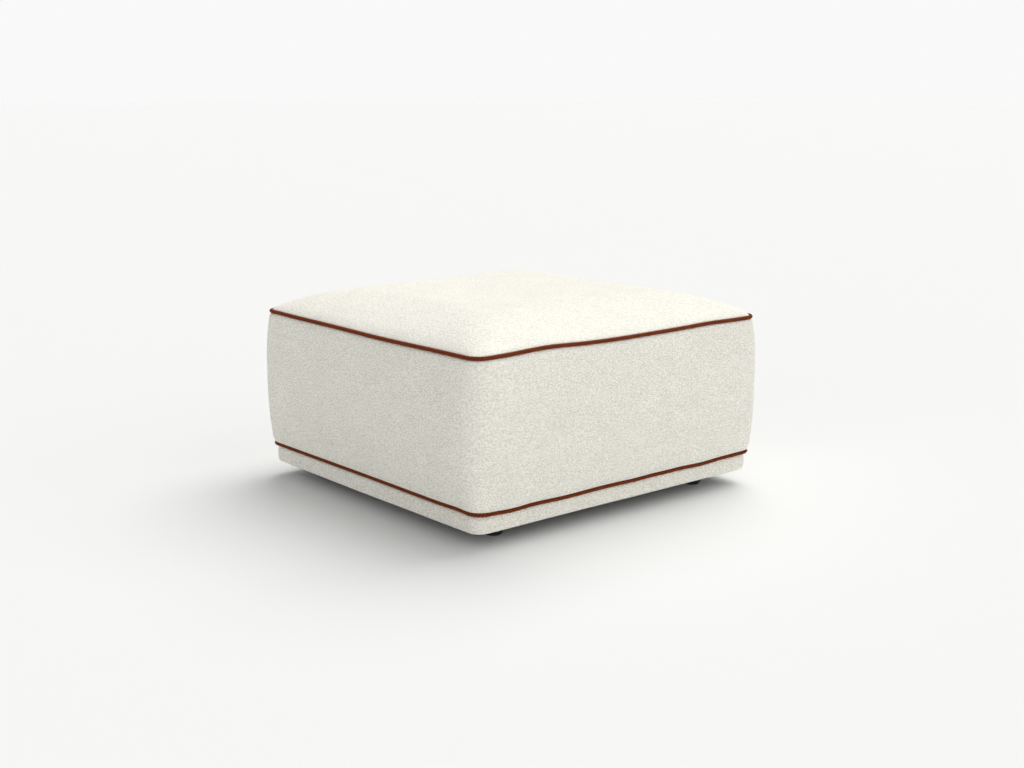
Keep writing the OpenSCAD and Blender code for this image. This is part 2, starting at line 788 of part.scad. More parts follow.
module top_wadding() {
    inset = dome_inset + gap;
    rise = crown_h - cloth_t - gap;
    color(fibre) loft(concat(
        reversed(dome_loops(inset + wadding_t, top_seam_z, rise - wadding_t)),
        dome_loops(inset, top_seam_z, rise)));
}

module body_under_cloth() {
    inset = bottom_draw_in + tuck;
    color(black) difference() {
        sheet(seam_w - 2 * inset, seam_d - 2 * inset, seam_r - inset, under_z, cloth_t);
        for (s = corners) upright(s[0] * bolt_x, s[1] * bolt_y, under_z - 1, body_z + 1, bolt_d + 1);
    }
}

module cover_band() {
    outer = [for (p = band_profile(0)) p + [seam_r, 0]];
    inner = [for (p = band_profile(cloth_t)) p + [seam_r, 0]];
    color(cream) ring_of(seam_w, seam_d, seam_r) polygon(concat(outer, reversed(inner)));
}

module cover_top() {
    lean = 50;
    lip_x = tuck * cos(lean);
    lip_z = tuck * sin(lean);
    color(cream) loft(concat(
        reversed(dome_loops(dome_inset, top_seam_z, crown_h - cloth_t)),
        [seam_loop(tuck, top_seam_z)],
        dome_loops(lip_x, top_seam_z + lip_z, crown_h - lip_z)));
}

// A twisted cord in a seam, drawn as its round envelope
module cord(inwards, z) {
    r = seam_r - inwards;
    color(rust) ring_of(seam_w - 2 * inwards, seam_d - 2 * inwards, r)
        translate([r, z]) circle(d = cord_d);
}

foot([-1, -1]);  // foot_front_left
foot([1, -1]);  // foot_front_right
foot([-1, 1]);  // foot_back_left
foot([1, 1]);  // foot_back_right
felt_glides();
foot_studs();
tee_nuts();
plinth_rail_long(-1);  // plinth_rail_front
plinth_rail_long(1);  // plinth_rail_back
plinth_rail_short(-1);  // plinth_rail_left
plinth_rail_short(1);  // plinth_rail_right
plinth_cross_rail();
plinth_block([-1, -1]);  // plinth_block_front_left
plinth_block([1, -1]);  // plinth_block_front_right
plinth_block([-1, 1]);  // plinth_block_back_left
plinth_block([1, 1]);  // plinth_block_back_right
wood_screws();
plinth_padding();
plinth_cover();
dust_cover();
dust_cover_staples();
joining_bolts();
bolt_washers();
threaded_inserts();
corner_post([-1, -1]);  // corner_post_front_left
corner_post([1, -1]);  // corner_post_front_right
corner_post([-1, 1]);  // corner_post_back_left
corner_post([1, 1]);  // corner_post_back_right
body_rail_long(-1, body_z, body_z + lower_rail_h);  // lower_rail_front
body_rail_long(1, body_z, body_z + lower_rail_h);  // lower_rail_back
body_rail_short(-1, body_z, body_z + lower_rail_h);  // lower_rail_left
body_rail_short(1, body_z, body_z + lower_rail_h);  // lower_rail_right
body_rail_long(-1, deck_z - upper_rail_h, deck_z);  // upper_rail_front
body_rail_long(1, deck_z - upper_rail_h, deck_z);  // upper_rail_back
body_rail_short(-1, deck_z - upper_rail_h, deck_z);  // upper_rail_left
body_rail_short(1, deck_z - upper_rail_h, deck_z);  // upper_rail_right
centre_rail();
rail_dowels();
side_panel_long(-1);  // side_panel_front
side_panel_long(1);  // side_panel_back
side_panel_short(-1);  // side_panel_left
side_panel_short(1);  // side_panel_right
panel_pins();
webbing_lengthways();
webbing_crossways();
webbing_staples();
deck_cloth();
side_foam_long(-1);  // side_foam_front
side_foam_long(1);  // side_foam_back
side_foam_short(-1);  // side_foam_left
side_foam_short(1);  // side_foam_right
seat_foam();
seat_topper();
side_wadding();
top_wadding();
body_under_cloth();
cover_band();
cover_top();
cord(0, top_seam_z);  // cord_top
cord(bottom_draw_in, low_seam_z);  // cord_bottom
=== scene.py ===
import math

import bmesh
import bpy
import numpy as np
from bpy.props import FloatProperty, FloatVectorProperty, IntProperty, PointerProperty
from mathutils import Matrix, Vector, noise
from mathutils.kdtree import KDTree


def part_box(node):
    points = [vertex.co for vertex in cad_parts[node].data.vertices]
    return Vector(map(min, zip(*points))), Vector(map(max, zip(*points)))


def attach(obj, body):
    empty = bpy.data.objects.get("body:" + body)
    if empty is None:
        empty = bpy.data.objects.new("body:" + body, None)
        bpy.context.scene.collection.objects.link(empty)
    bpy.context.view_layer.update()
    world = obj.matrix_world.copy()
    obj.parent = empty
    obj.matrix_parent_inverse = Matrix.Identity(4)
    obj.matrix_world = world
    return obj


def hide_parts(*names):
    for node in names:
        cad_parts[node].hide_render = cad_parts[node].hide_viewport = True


bl_info = {
    "name": "Upholstered ottoman",
    "version": (1, 0, 0),
    "blender": (4, 5, 0),
    "location": "3D View > Sidebar > Ottoman",
    "description": "Looped-cloth ottoman with twisted cords in its seams, round its packed frame",
    "category": "Object",
}

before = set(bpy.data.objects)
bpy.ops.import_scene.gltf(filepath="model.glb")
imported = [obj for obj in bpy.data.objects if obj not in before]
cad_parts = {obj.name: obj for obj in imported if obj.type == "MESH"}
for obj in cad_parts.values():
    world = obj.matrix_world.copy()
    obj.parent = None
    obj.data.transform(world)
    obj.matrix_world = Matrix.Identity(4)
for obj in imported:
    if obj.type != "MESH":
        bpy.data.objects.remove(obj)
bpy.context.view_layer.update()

MM = 0.001

# The CAD pieces whose places the soft pieces take
TOP_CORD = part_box("cord_top")
LOW_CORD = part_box("cord_bottom")
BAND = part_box("cover_band")
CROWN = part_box("cover_top")
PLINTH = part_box("plinth_cover")
PLINTH_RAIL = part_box("plinth_rail_front")
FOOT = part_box("foot_front_left")
SEAT_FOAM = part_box("seat_foam")

CORD_D = TOP_CORD[1].z - TOP_CORD[0].z

# How flat the crown and the belly are in the middle, and how full beside the seams
CROWN_POWER, CROWN_ROOT = 6.3, 0.9
BELLY_POWER, BELLY_ROOT = 2.4, 0.55
# How fast the crown's corners round off towards the middle
CORNER_GROWTH = 0.55
# From the seams' line in to the side panels, and the slit between two soft pieces
PAD_DEPTH = 0.0317
SLIT = 0.0006
# The sharpest corner that a pad is given on its inside
SHARPEST = 0.002
# How far from a seam its hold on the cover reaches
SEAM_REACH = 0.030
# How far the plinth's cover is turned in over and under its rails
TURNED_IN = 0.045

# Steps of the meshes: round the seams, over the belly, over the crown, across a lining, and
# in one turn of a cord's strand
ROUND_STEPS = 384
BELLY_STEPS = 30
CROWN_STEPS = ROUND_STEPS // 4
LINING_STEPS = 72
STRAND_STEPS = 12

# Frames of the simulation, and steps in which a seam's hold on the cover fades
AIR_FRAMES = 20
HOLD_STEPS = 10

# The camera's turn and tilt in degrees, and its place: how far right of, above and behind a
# point over the middle of the floor, and that point's height
CAMERA_TURN, CAMERA_TILT = -39.78, 11.96
CAMERA_RIGHT, CAMERA_UP, CAMERA_BACK = 0.00865, 0.15629, 3.36823
CAMERA_AIM = 0.06671
CAMERA_LENS, CAMERA_SENSOR = 50.0, 36.0

# The lamps are wide soft suns: strength, where 1 lights a face turned to it as its colour is
# written, width, height, direction on the floor from the right, all in degrees, and tint
LAMPS = {
    "key_lamp": (0.66, 55.0, 56.0, 20.0, (1.0, 0.985, 0.955)),
    "front_lamp": (0.26, 70.0, 20.0, -62.0, (1.0, 0.99, 0.97)),
    "left_lamp": (0.31, 70.0, 12.0, -145.0, (1.0, 0.99, 0.97)),
}
# The room's own light: its strength and tint
ROOM_LIGHT, ROOM_TINT = 0.36, (0.97, 0.985, 1.0)
# Half the floor's width, and how far it lies under the feet
FLOOR_REACH, FLOOR_DROP = 60.0, 0.0002


def linear(code):
    """An sRGB colour such as "#F0EDE3" as linear red, green and blue."""
    parts = [int(code[i:i + 2], 16) / 255 for i in (1, 3, 5)]
    return tuple(c / 12.92 if c <= 0.04045 else ((c + 0.055) / 1.055) ** 2.4 for c in parts)


def colour(name, description, code):
    return FloatVectorProperty(name=name, description=description, subtype="COLOR",
                               size=3, min=0.0, max=1.0, default=linear(code))


def length(name, description, default, low, high):
    return FloatProperty(name=name, description=description, subtype="DISTANCE",
                         unit="LENGTH", default=default, min=low, max=high, precision=4)


# Sizes and colours of the soft pieces

class OttomanSizes(bpy.types.PropertyGroup):
    """Sizes of the soft pieces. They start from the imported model."""

    seam_half_w: length("Seam half width", "From the centre to the top cord's line, left to right",
                        TOP_CORD[1].x - CORD_D / 2, 0.2, 0.8)
    seam_half_d: length("Seam half depth", "From the centre to the top cord's line, front to back",
                        TOP_CORD[1].y - CORD_D / 2, 0.2, 0.8)
    seam_r: length("Seam corner radius", "Radius that the top cord follows at each corner",
                   0.032, 0.02, 0.08)
    top_seam_z: length("Top seam height", "Height of the top cord's centre",
                       (TOP_CORD[0].z + TOP_CORD[1].z) / 2, 0.1, 1.0)
    low_seam_z: length("Bottom seam height", "Height of the bottom cord's centre",
                       (LOW_CORD[0].z + LOW_CORD[1].z) / 2, 0.02, 0.5)
    low_draw_in: length("Bottom seam inset", "How far the bottom cord lies inside the top one",
                        TOP_CORD[1].x - LOW_CORD[1].x, 0.0, 0.01)
    crown_z: length("Crown height", "Height of the middle of the top", CROWN[1].z, 0.1, 1.2)
    belly: length("Belly", "How far the band stands out between the cords",
                  BAND[1].x - TOP_CORD[1].x + CORD_D / 2 + 0.0008, 0.0, 0.05)
    cord_d: length("Cord diameter", "Diameter of the twisted cords", 1.13 * CORD_D, 0.004, 0.012)
    cord_pitch: length("Cord lay", "Length in which a strand of the cord turns once",
                       0.021, 0.008, 0.04)
    cord_strands: IntProperty(name="Cord strands", description="Strands twisted into a cord",
                              default=3, min=2, max=4)
    swell: length("Swelling", "How far the padding may press the cover out", 0.0022, 0.0, 0.01)
    unevenness: length("Unevenness", "Height of the soft waves in the padding",
                       0.0007, 0.0, 0.003)
    loop: length("Loop size", "Size of a loop of the cover cloth", 0.0050, 0.001, 0.01)


class OttomanColours(bpy.types.PropertyGroup):
    """Colours of the finishes."""

    cloth_loops: colour("Cloth, loops", "Top of the cover cloth's loops", "#FFFDF3")
    # Painted shade: the darker tone laid in the hollows between the cloth's loops
    cloth_painted_ground_shade: colour("Cloth, ground", "Between the cover cloth's loops", "#DAD6CA")
    cord_strand: colour("Cord, strand", "Outside of the cord's strands", "#7E360F")
    # Painted shade: the near-black tone laid in the grooves between the cord's strands
    cord_painted_shade: colour("Cord, shade", "Between the cord's strands", "#120502")
    feet: colour("Feet", "Satin lacquer on the feet", "#0B0B0A")
    timber_pale: colour("Timber, pale", "Early wood of the frame", "#DDC096")
    timber_dark: colour("Timber, dark", "Late wood of the frame", "#B98D58")
    floor: colour("Floor", "Floor under the ottoman", "#EFF0F0")
    backdrop: colour("Backdrop", "What the camera sees behind the floor", "#F9F9F9")


# Shapes

def vectors(source, key):
    """One vector of each vertex, such as its place, as an array."""
    found = np.empty(len(source) * 3)
    source.foreach_get(key, found)
    return found.reshape(-1, 3)


def coordinates(mesh):
    return vectors(mesh.vertices, "co")


def set_coordinates(mesh, places):
    """Moves a mesh's vertices to new places."""
    mesh.vertices.foreach_set("co", np.ascontiguousarray(places, np.float64).ravel())
    mesh.update()


def around(share, half_w, half_d, radius):
    """Places and outward directions on a rectangle with rounded corners.

    A share runs from 0 in the middle of the right side, anticlockwise, to 1. The corners'
    middles are at 1/8, 3/8, 5/8 (front left) and 7/8."""
    share = np.asarray(share, float) % 1.0
    octant = np.minimum(np.floor(share * 8).astype(int), 7)
    past = share * 8 - octant
    before = octant % 2 == 1
    side = (octant + 1) // 2 % 4
    flank = side % 2 == 0
    half_run = np.where(flank, half_d, half_w) - radius
    depth = np.where(flank, half_w, half_d)
    run = np.where(before, 1 - past, past) * (half_run + radius * math.pi / 4)
    angle = np.maximum(run - half_run, 0) / radius
    way = np.where(before, -1.0, 1.0)
    along = way * (np.minimum(run, half_run) + radius * np.sin(angle))
    out = depth - radius + radius * np.cos(angle)
    normal_x = np.select([side == 0, side == 2], [1.0, -1.0], 0.0)
    normal_y = np.select([side == 1, side == 3], [1.0, -1.0], 0.0)
    x = out * normal_x - along * normal_y
    y = out * normal_y + along * normal_x
    lean = way * np.sin(angle)
    return (x, y, np.cos(angle) * normal_x - lean * normal_y,
            np.cos(angle) * normal_y + lean * normal_x)


def square_share(a, b):
    """How far round its square a grid's point is, as a share that around() takes."""
    size = np.maximum(np.maximum(np.abs(a), np.abs(b)), 1e-9)
    a, b = a / size, b / size
    edge = 1 - 1e-6
    return np.select([a >= edge, b >= edge, a <= -edge],
                     [b / 8, (2 - a) / 8, (4 - b) / 8], (6 + a) / 8) % 1.0


def hump(share, middle, width):
    """A smooth rise to 1 round a share, and back to 0."""
    apart = (np.asarray(share) - middle + 0.5) % 1.0 - 0.5
    return np.exp(-(apart / width) ** 2)


# Where the sewn seams stray from a level line: a share of the way round, a width as a share,
# and a height in millimetres
TOP_WANDER = ((0.6800, 0.0255, 4.0), (0.750, 0.0500, -1.8), (0.8275, 0.0175, 1.3),
              (0.525, 0.0500, -2.0), (0.3875, 0.0200, 1.0), (0.060, 0.0500, 1.1),
              (0.935, 0.0400, -1.2), (0.200, 0.0350, -1.3), (0.290, 0.0300, 1.2),
              (0.625, 0.2500, -1.2))
LOW_WANDER = ((0.606, 0.0120, 1.7), (0.651, 0.0140, -3.0), (0.695, 0.0220, -2.2),
              (0.758, 0.0130, -1.4), (0.788, 0.0090, -0.9), (0.823, 0.0180, -2.7),
              (0.500, 0.0800, 1.0), (0.040, 0.0300, -1.2), (0.930, 0.0350, 0.9),
              (0.180, 0.0300, 1.0), (0.300, 0.0250, -1.1), (0.740, 0.0800, -1.3))


def wander(share, bumps, beside=0.0):
    """How far a seam strays upwards from its level line. It fades beside the seam."""
    stray = MM * sum(high * hump(share, middle, width) for middle, width, high in bumps)
    return stray * np.exp(-(beside / SEAM_REACH) ** 2)


def freedom(beside, held):
    """How free the cover is beside a seam: 0 as far as held, and 1 past the seam's reach."""
    share = np.clip((beside - held) / SEAM_REACH, 0, 1)
    return share * share * (3 - 2 * share)


def grow(bm, rim, levels):
    """Extrudes an open rim once for each level. The level is kept as the height until the
    points are placed."""
    for level in range(1, levels + 1):
        made = bmesh.ops.extrude_edge_only(bm, edges=rim)["geom"]
        new = {g for g in made if isinstance(g, bmesh.types.BMVert)}
        for v in new:
            v.co.z = -level
        rim = [g for g in made if isinstance(g, bmesh.types.BMEdge)
               and g.verts[0] in new and g.verts[1] in new]
    return rim


def add_piece(name, bm, material, replaced=()):
    """Makes a piece from a bmesh, with smooth faces that point outwards."""
    bmesh.ops.recalc_face_normals(bm, faces=bm.faces)
    mesh = bpy.data.meshes.new(name)
    bm.to_mesh(mesh)
    bm.free()
    mesh.shade_smooth()
    return place_piece(name, mesh, material, replaced)


def place_piece(name, mesh, material, replaced=()):
    piece = bpy.data.objects.new(name, mesh)
    bpy.context.scene.collection.objects.link(piece)
    mesh.materials.clear()
    mesh.materials.append(material)
    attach(piece, "root")
    if replaced:
        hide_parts(*replaced)
    return piece


def finer(piece):
    """One subdivision, the same in the view as in the render."""
    smooth = piece.modifiers.new("Finer", "SUBSURF")
    smooth.levels = 1
    smooth.render_levels = 1


def press_out(piece, free, reach):
    """The cover starts drawn in by reach, and air blows it out as its padding would.

    free is 0 where a seam holds it and 1 away from the seams. No point moves further than
    twice the reach."""
    if reach <= 0:
        return
    mesh = piece.data
    full = coordinates(mesh)
    start = full - vectors(mesh.vertex_normals, "vector") * (reach * free)[:, None]
    set_coordinates(mesh, start)
    held = piece.vertex_groups.new(name="held")
    for step in range(1, HOLD_STEPS + 1):
        members = np.nonzero(np.round(HOLD_STEPS * (1 - free)).astype(int) == step)[0]
        if len(members):
            held.add(members.tolist(), step / HOLD_STEPS, "REPLACE")
    cloth = piece.modifiers.new("Pressed out", "CLOTH")
    cloth.settings.quality = 5
    cloth.settings.mass = 0.003
    cloth.settings.tension_stiffness = 12.0
    cloth.settings.compression_stiffness = 12.0
    cloth.settings.bending_stiffness = 0.4
    cloth.settings.use_pressure = True
    cloth.settings.uniform_pressure_force = 4.0
    cloth.settings.effector_weights.gravity = 0.0
    cloth.settings.vertex_group_mass = "held"
    cloth.collision_settings.use_collision = False
    cloth.point_cache.frame_start = 1
    cloth.point_cache.frame_end = AIR_FRAMES
    scene = bpy.context.scene
    for number in range(1, AIR_FRAMES + 1):
        scene.frame_set(number)
    shown = piece.evaluated_get(bpy.context.evaluated_depsgraph_get())
    blown = coordinates(shown.data)
    piece.modifiers.remove(cloth)
    piece.vertex_groups.remove(held)
    scene.frame_set(1)
    move = blown - start
    keep = np.minimum(1.0, 2 * reach / np.maximum(np.linalg.norm(move, axis=1), 1e-9))
    set_coordinates(mesh, start + move * keep[:, None])


def soft_waves(places, size, seed):
    """Smooth unevenness from -1 to 1, with humps about size across."""
    shift = Vector((seed * 7.3, seed * 3.1, seed * 5.7))
    return np.array([noise.noise(Vector(p) / size + shift) for p in places])


def padding_waves(places, large, small, share, seed):
    """The padding's unevenness: large humps with their share, and small ones between."""
    return (share * soft_waves(places, large, seed)
            + (1 - share) * soft_waves(places, small, seed + 1))


def ring_piece(name, levels, material, replaced):
    """Makes a closed ring of cover cloth that has a level for each point of its section.
    Returns the piece, and each vertex's share of the way round and level."""
    bm = bmesh.new()
    bmesh.ops.create_circle(bm, cap_ends=False, radius=1.0, segments=ROUND_STEPS)
    first = list(bm.edges)
    last = grow(bm, first, levels - 1)
    bmesh.ops.bridge_loops(bm, edges=first + last)
    piece = add_piece(name, bm, material, replaced)
    raw = coordinates(piece.data)
    share = np.arctan2(raw[:, 1], raw[:, 0]) / (2 * math.pi) % 1.0
    return piece, share, np.round(-raw[:, 2]).astype(int)


def place_ring(piece, sizes, share, out, z):
    """Places a ring's vertices by how far out from the seams' line they lie, and how high.
    Returns their outward directions."""
    x, y, nx, ny = around(share, sizes.seam_half_w + out, sizes.seam_half_d + out,
                          np.maximum(sizes.seam_r + out, SHARPEST))
    set_coordinates(piece.data, np.stack([x, y, z], 1))
    return nx, ny


# Materials

def add(tree, kind, inputs=None, out=0, **settings):
    """Adds a node and returns one of its outputs. An input is a value or another output."""
    made = tree.nodes.new("ShaderNode" + kind)
    for key, value in settings.items():
        setattr(made, key, value)
    for key, value in (inputs or {}).items():
        if isinstance(value, bpy.types.NodeSocket):
            tree.links.new(value, made.inputs[key])
        else:
            made.inputs[key].default_value = value
    return made.outputs[out] if made.outputs else made


def new_material(name):
    """An empty material, its nodes, and the place on the piece that its patterns read."""
    made = bpy.data.materials.new(name)
    made.use_nodes = True
    made.node_tree.nodes.clear()
    return made, made.node_tree, add(made.node_tree, "TexCoord", out="Object")


def opaque(rgb):
    return (*rgb, 1.0)


def looped_boucle(name, colours, loop, relief, shade_lift):
    """Looped bouclé of wool and cotton, woven with loose curled loops: a matt, nubbly
    surface of small knots, wider than they are high, with painted shade in the hollows
    between them, and a faint soft sheen. relief is the loops' height, and the last
    argument, from 0 to 1, lifts that painted shade towards the loops' colour for a lighter copy."""
    made, tree, here = new_material(name)
    place = add(tree, "Mapping", {"Vector": here, "Scale": (1, 1, 1.5)})
    patch = 0.055
    hollow_painted_shade = tuple(low + shade_lift * (high - low)
                   for low, high in zip(colours.cloth_painted_ground_shade, colours.cloth_loops))
    # Loops stray by about their own size
    stray = add(tree, "TexNoise", {"Vector": place, "Scale": 1 / (2 * loop), "Detail": 1.0},
                "Color")
    shift = add(tree, "VectorMath", {0: stray, 1: (0.5, 0.5, 0.5)}, operation="SUBTRACT")
    strayed = add(tree, "VectorMath", {0: shift, 1: (1.2 * loop,) * 3, 2: place},
                  operation="MULTIPLY_ADD")
    knots = add(tree, "TexVoronoi", {"Vector": strayed, "Scale": 1 / loop, "Randomness": 0.85},
                "Distance")
    rise = add(tree, "MapRange", {"Value": knots, "From Min": 0.75, "From Max": 0.1},
               interpolation_type="SMOOTHSTEP")
    # The yarn's own curl, about half a loop across
    curl = add(tree, "TexNoise", {"Vector": place, "Scale": 1.7 / loop, "Detail": 2.0,
                                  "Roughness": 0.6, "Distortion": 1.2}, "Fac")
    height = add(tree, "Math", {0: curl, 1: 0.8, 2: rise}, operation="MULTIPLY_ADD")
    # The pile lies this way and that in patches
    patches = add(tree, "TexNoise",
                  {"Vector": here, "Scale": 1 / patch, "Detail": 2.0, "Roughness": 0.45}, "Fac")
    # Painted shade: the cloth is mixed darker where its loops are low, in the hollows between the
    # knots
    depth = add(tree, "MapRange", {"Value": height, "From Min": 0.25, "From Max": 0.85})
    yarn = add(tree, "Mix", {"Factor": depth, 6: opaque(hollow_painted_shade), 7: opaque(colours.cloth_loops)},
               2, data_type="RGBA")
    lie = add(tree, "MapRange",
              {"Value": patches, "From Min": 0.3, "From Max": 0.7, "To Min": 0.975,
               "To Max": 1.01})
    tone = add(tree, "VectorMath", {0: yarn, "Scale": lie}, operation="SCALE")
    bump = add(tree, "Bump", {"Strength": 1.0, "Distance": relief, "Height": height})
    surface = add(tree, "BsdfPrincipled", {"Base Color": tone, "Roughness": 0.95, "Normal": bump,
                                           "Sheen Weight": 0.25, "Sheen Roughness": 0.5,
                                           "Specular IOR Level": 0.2})
    add(tree, "OutputMaterial", {"Surface": surface})
    return made


def twisted_viscose(name, colours):
    """Viscose yarn twisted into a cord: smooth fine fibres that run along each strand, a
    soft sheen, and painted shade, a near-black rust, where the strands meet."""
    made, tree, place = new_material(name)
    # The fibres are drawn coarser than they are, because real ones are too fine to show
    fibre, dye_patch = 0.0011, 0.009
    fibres = add(tree, "TexNoise",
                 {"Vector": place, "Scale": 1 / fibre, "Detail": 3.0, "Roughness": 0.65}, "Fac")
    dye = add(tree, "TexNoise", {"Vector": place, "Scale": 1 / dye_patch, "Detail": 2.0}, "Fac")
    # Painted shade: the strands' flanks and the grooves where they meet are mixed towards the
    # shade colour
    depth = add(tree, "Attribute", out="Fac", attribute_name="outside")
    painted_shade_mask = add(tree, "MapRange",
                {"Value": depth, "From Min": 0.6, "From Max": 1.0, "To Min": -0.35,
                 "To Max": 0.75})
    shown = add(tree, "Math", {0: fibres, 1: 0.5, 2: painted_shade_mask}, operation="MULTIPLY_ADD",
                use_clamp=True)
    yarn = add(tree, "Mix",
               {"Factor": shown, 6: opaque(colours.cord_painted_shade), 7: opaque(colours.cord_strand)},
               2, data_type="RGBA")
    bath = add(tree, "MapRange",
               {"Value": dye, "From Min": 0.3, "From Max": 0.7, "To Min": 0.82, "To Max": 1.12})
    tone = add(tree, "VectorMath", {0: yarn, "Scale": bath}, operation="SCALE")
    bump = add(tree, "Bump", {"Strength": 0.5, "Distance": 0.0004, "Height": fibres})
    surface = add(tree, "BsdfPrincipled",
                  {"Base Color": tone, "Roughness": 0.65, "Normal": bump,
                   "Specular IOR Level": 0.12})
    add(tree, "OutputMaterial", {"Surface": surface})
    return made


def satin_lacquer(name, rgb):
    """Black lacquer on turned beech: satin, with the wood's pores just showing as bump, and
    duller where it has been touched."""
    made, tree, place = new_material(name)
    pore, touch = 0.0012, 0.012
    long_grain = add(tree, "Mapping", {"Vector": place, "Scale": (1, 1, 0.08)})
    pores = add(tree, "TexNoise", {"Vector": long_grain, "Scale": 1 / pore, "Detail": 2.0}, "Fac")
    handling = add(tree, "TexNoise", {"Vector": place, "Scale": 1 / touch, "Detail": 3.0}, "Fac")
    gloss = add(tree, "MapRange", {"Value": handling, "To Min": 0.32, "To Max": 0.5})
    tone = add(tree, "Mix",
               {"Factor": pores, 6: opaque(rgb), 7: opaque(tuple(1.7 * c + 0.002 for c in rgb))},
               2, data_type="RGBA")
    bump = add(tree, "Bump", {"Strength": 0.15, "Distance": 0.0002, "Height": pores})
    surface = add(tree, "BsdfPrincipled", {"Base Color": tone, "Roughness": gloss, "Normal": bump,
                                           "Coat Weight": 0.25, "Coat Roughness": 0.25})
    add(tree, "OutputMaterial", {"Surface": surface})
    return made


def fibrous(name, dark, light, size, depth, roughness=0.95, sheen=0.15):
    """Felted or bonded fibres: a matt web of short threads that cross at random."""
    made, tree, place = new_material(name)
    web = add(tree, "TexNoise",
              {"Vector": place, "Scale": 1 / size, "Detail": 4.0, "Roughness": 0.7,
               "Distortion": 1.5}, "Fac")
    clumps = add(tree, "TexNoise", {"Vector": place, "Scale": 1 / (8 * size), "Detail": 2.0},
                 "Fac")
    both = add(tree, "Math", {0: web, 1: clumps}, operation="MULTIPLY")
    spread = add(tree, "MapRange", {"Value": both, "From Min": 0.12, "From Max": 0.4})
    tone = add(tree, "Mix", {"Factor": spread, 6: opaque(linear(dark)), 7: opaque(linear(light))},
               2, data_type="RGBA")
    bump = add(tree, "Bump", {"Strength": 0.4, "Distance": depth, "Height": web})
    surface = add(tree, "BsdfPrincipled",
                  {"Base Color": tone, "Roughness": roughness, "Normal": bump,
                   "Sheen Weight": sheen})
    add(tree, "OutputMaterial", {"Surface": surface})
    return made


def spunbond(name, dark, light):
    """Spunbonded polypropylene lining: thin cloth with a regular grid of small welded
    dots and fine fibres between them."""
    made, tree, place = new_material(name)
    dot_spacing, fibre = 0.0025, 0.0015
    turned = add(tree, "Mapping", {"Vector": place, "Rotation": (0, 0, math.radians(45))})
    dots = add(tree, "TexVoronoi",
               {"Vector": turned, "Scale": 1 / dot_spacing, "Randomness": 0.0}, "Distance",
               voronoi_dimensions="2D")
    weld = add(tree, "MapRange", {"Value": dots, "From Min": 0.16, "From Max": 0.34},
               interpolation_type="SMOOTHSTEP")
    fibres = add(tree, "TexNoise", {"Vector": place, "Scale": 1 / fibre, "Detail": 4.0,
                                    "Roughness": 0.7, "Distortion": 2.0}, "Fac")
    height = add(tree, "Math", {0: weld, 1: fibres}, operation="MULTIPLY")
    tone = add(tree, "Mix", {"Factor": height, 6: opaque(linear(dark)), 7: opaque(linear(light))},
               2, data_type="RGBA")
    bump = add(tree, "Bump", {"Strength": 0.5, "Distance": 0.0003, "Height": height})
    surface = add(tree, "BsdfPrincipled", {"Base Color": tone, "Roughness": 0.7, "Normal": bump})
    add(tree, "OutputMaterial", {"Surface": surface})
    return made


def planed_timber(name, pale, dark, along, ring=0.007):
    """Planed wood sawn along its grain: paler early wood and darker late wood in long
    bands, a ring apart, with fine pores and a dull planed surface."""
    made, tree, place = new_material(name)
    pore = 0.0009
    stretch = [0.06 if axis == along else 1.0 for axis in "XYZ"]
    grain = add(tree, "Mapping", {"Vector": place, "Scale": stretch})
    waver = add(tree, "TexNoise", {"Vector": grain, "Scale": 1 / (5 * ring), "Detail": 2.0},
                "Fac")
    sway = add(tree, "Math", {0: waver, 1: 40.0}, operation="MULTIPLY")
    phase = add(tree, "SeparateXYZ", {"Vector": grain}, {"X": "Y", "Y": "X", "Z": "X"}[along])
    count = add(tree, "Math", {0: phase, 1: 2 * math.pi / ring, 2: sway},
                operation="MULTIPLY_ADD")
    bands = add(tree, "Math", {0: count}, operation="SINE")
    rings = add(tree, "MapRange", {"Value": bands, "From Min": -0.2, "From Max": 1.0},
                interpolation_type="SMOOTHSTEP")
    pores = add(tree, "TexNoise", {"Vector": grain, "Scale": 1 / pore, "Detail": 2.0}, "Fac")
    mixed = add(tree, "Math", {0: pores, 1: 0.35, 2: rings}, operation="MULTIPLY_ADD",
                use_clamp=True)
    tone = add(tree, "Mix", {"Factor": mixed, 6: opaque(pale), 7: opaque(dark)}, 2,
               data_type="RGBA")
    bump = add(tree, "Bump", {"Strength": 0.2, "Distance": 0.0003, "Height": pores})
    surface = add(tree, "BsdfPrincipled", {"Base Color": tone, "Roughness": 0.62, "Normal": bump})
    add(tree, "OutputMaterial", {"Surface": surface})
    return made


def layered_plywood(name):
    """Birch plywood: veneers that turn by a right angle from one to the next, so its edges
    are striped and its faces show long soft grain."""
    made, tree, place = new_material(name)
    veneer_t, pore = 0.0014, 0.002
    high = add(tree, "SeparateXYZ", {"Vector": place}, "Z")
    layer = add(tree, "Math", {0: high, 1: math.pi / veneer_t}, operation="MULTIPLY")
    stripes = add(tree, "Math", {0: layer}, operation="SINE")
    veneer = add(tree, "MapRange", {"Value": stripes, "From Min": -0.3, "From Max": 0.3},
                 interpolation_type="SMOOTHSTEP")
    grain = add(tree, "Mapping", {"Vector": place, "Scale": (0.08, 1, 1)})
    pores = add(tree, "TexNoise", {"Vector": grain, "Scale": 1 / pore, "Detail": 3.0}, "Fac")
    mixed = add(tree, "Math", {0: pores, 1: 0.6, 2: veneer}, operation="MULTIPLY_ADD",
                use_clamp=True)
    tone = add(tree, "Mix",
               {"Factor": mixed, 6: opaque(linear("#D9BC8E")), 7: opaque(linear("#A9804F"))}, 2,
               data_type="RGBA")
    bump = add(tree, "Bump", {"Strength": 0.2, "Distance": 0.0002, "Height": pores})
    surface = add(tree, "BsdfPrincipled", {"Base Color": tone, "Roughness": 0.65, "Normal": bump})
    add(tree, "OutputMaterial", {"Surface": surface})
    return made


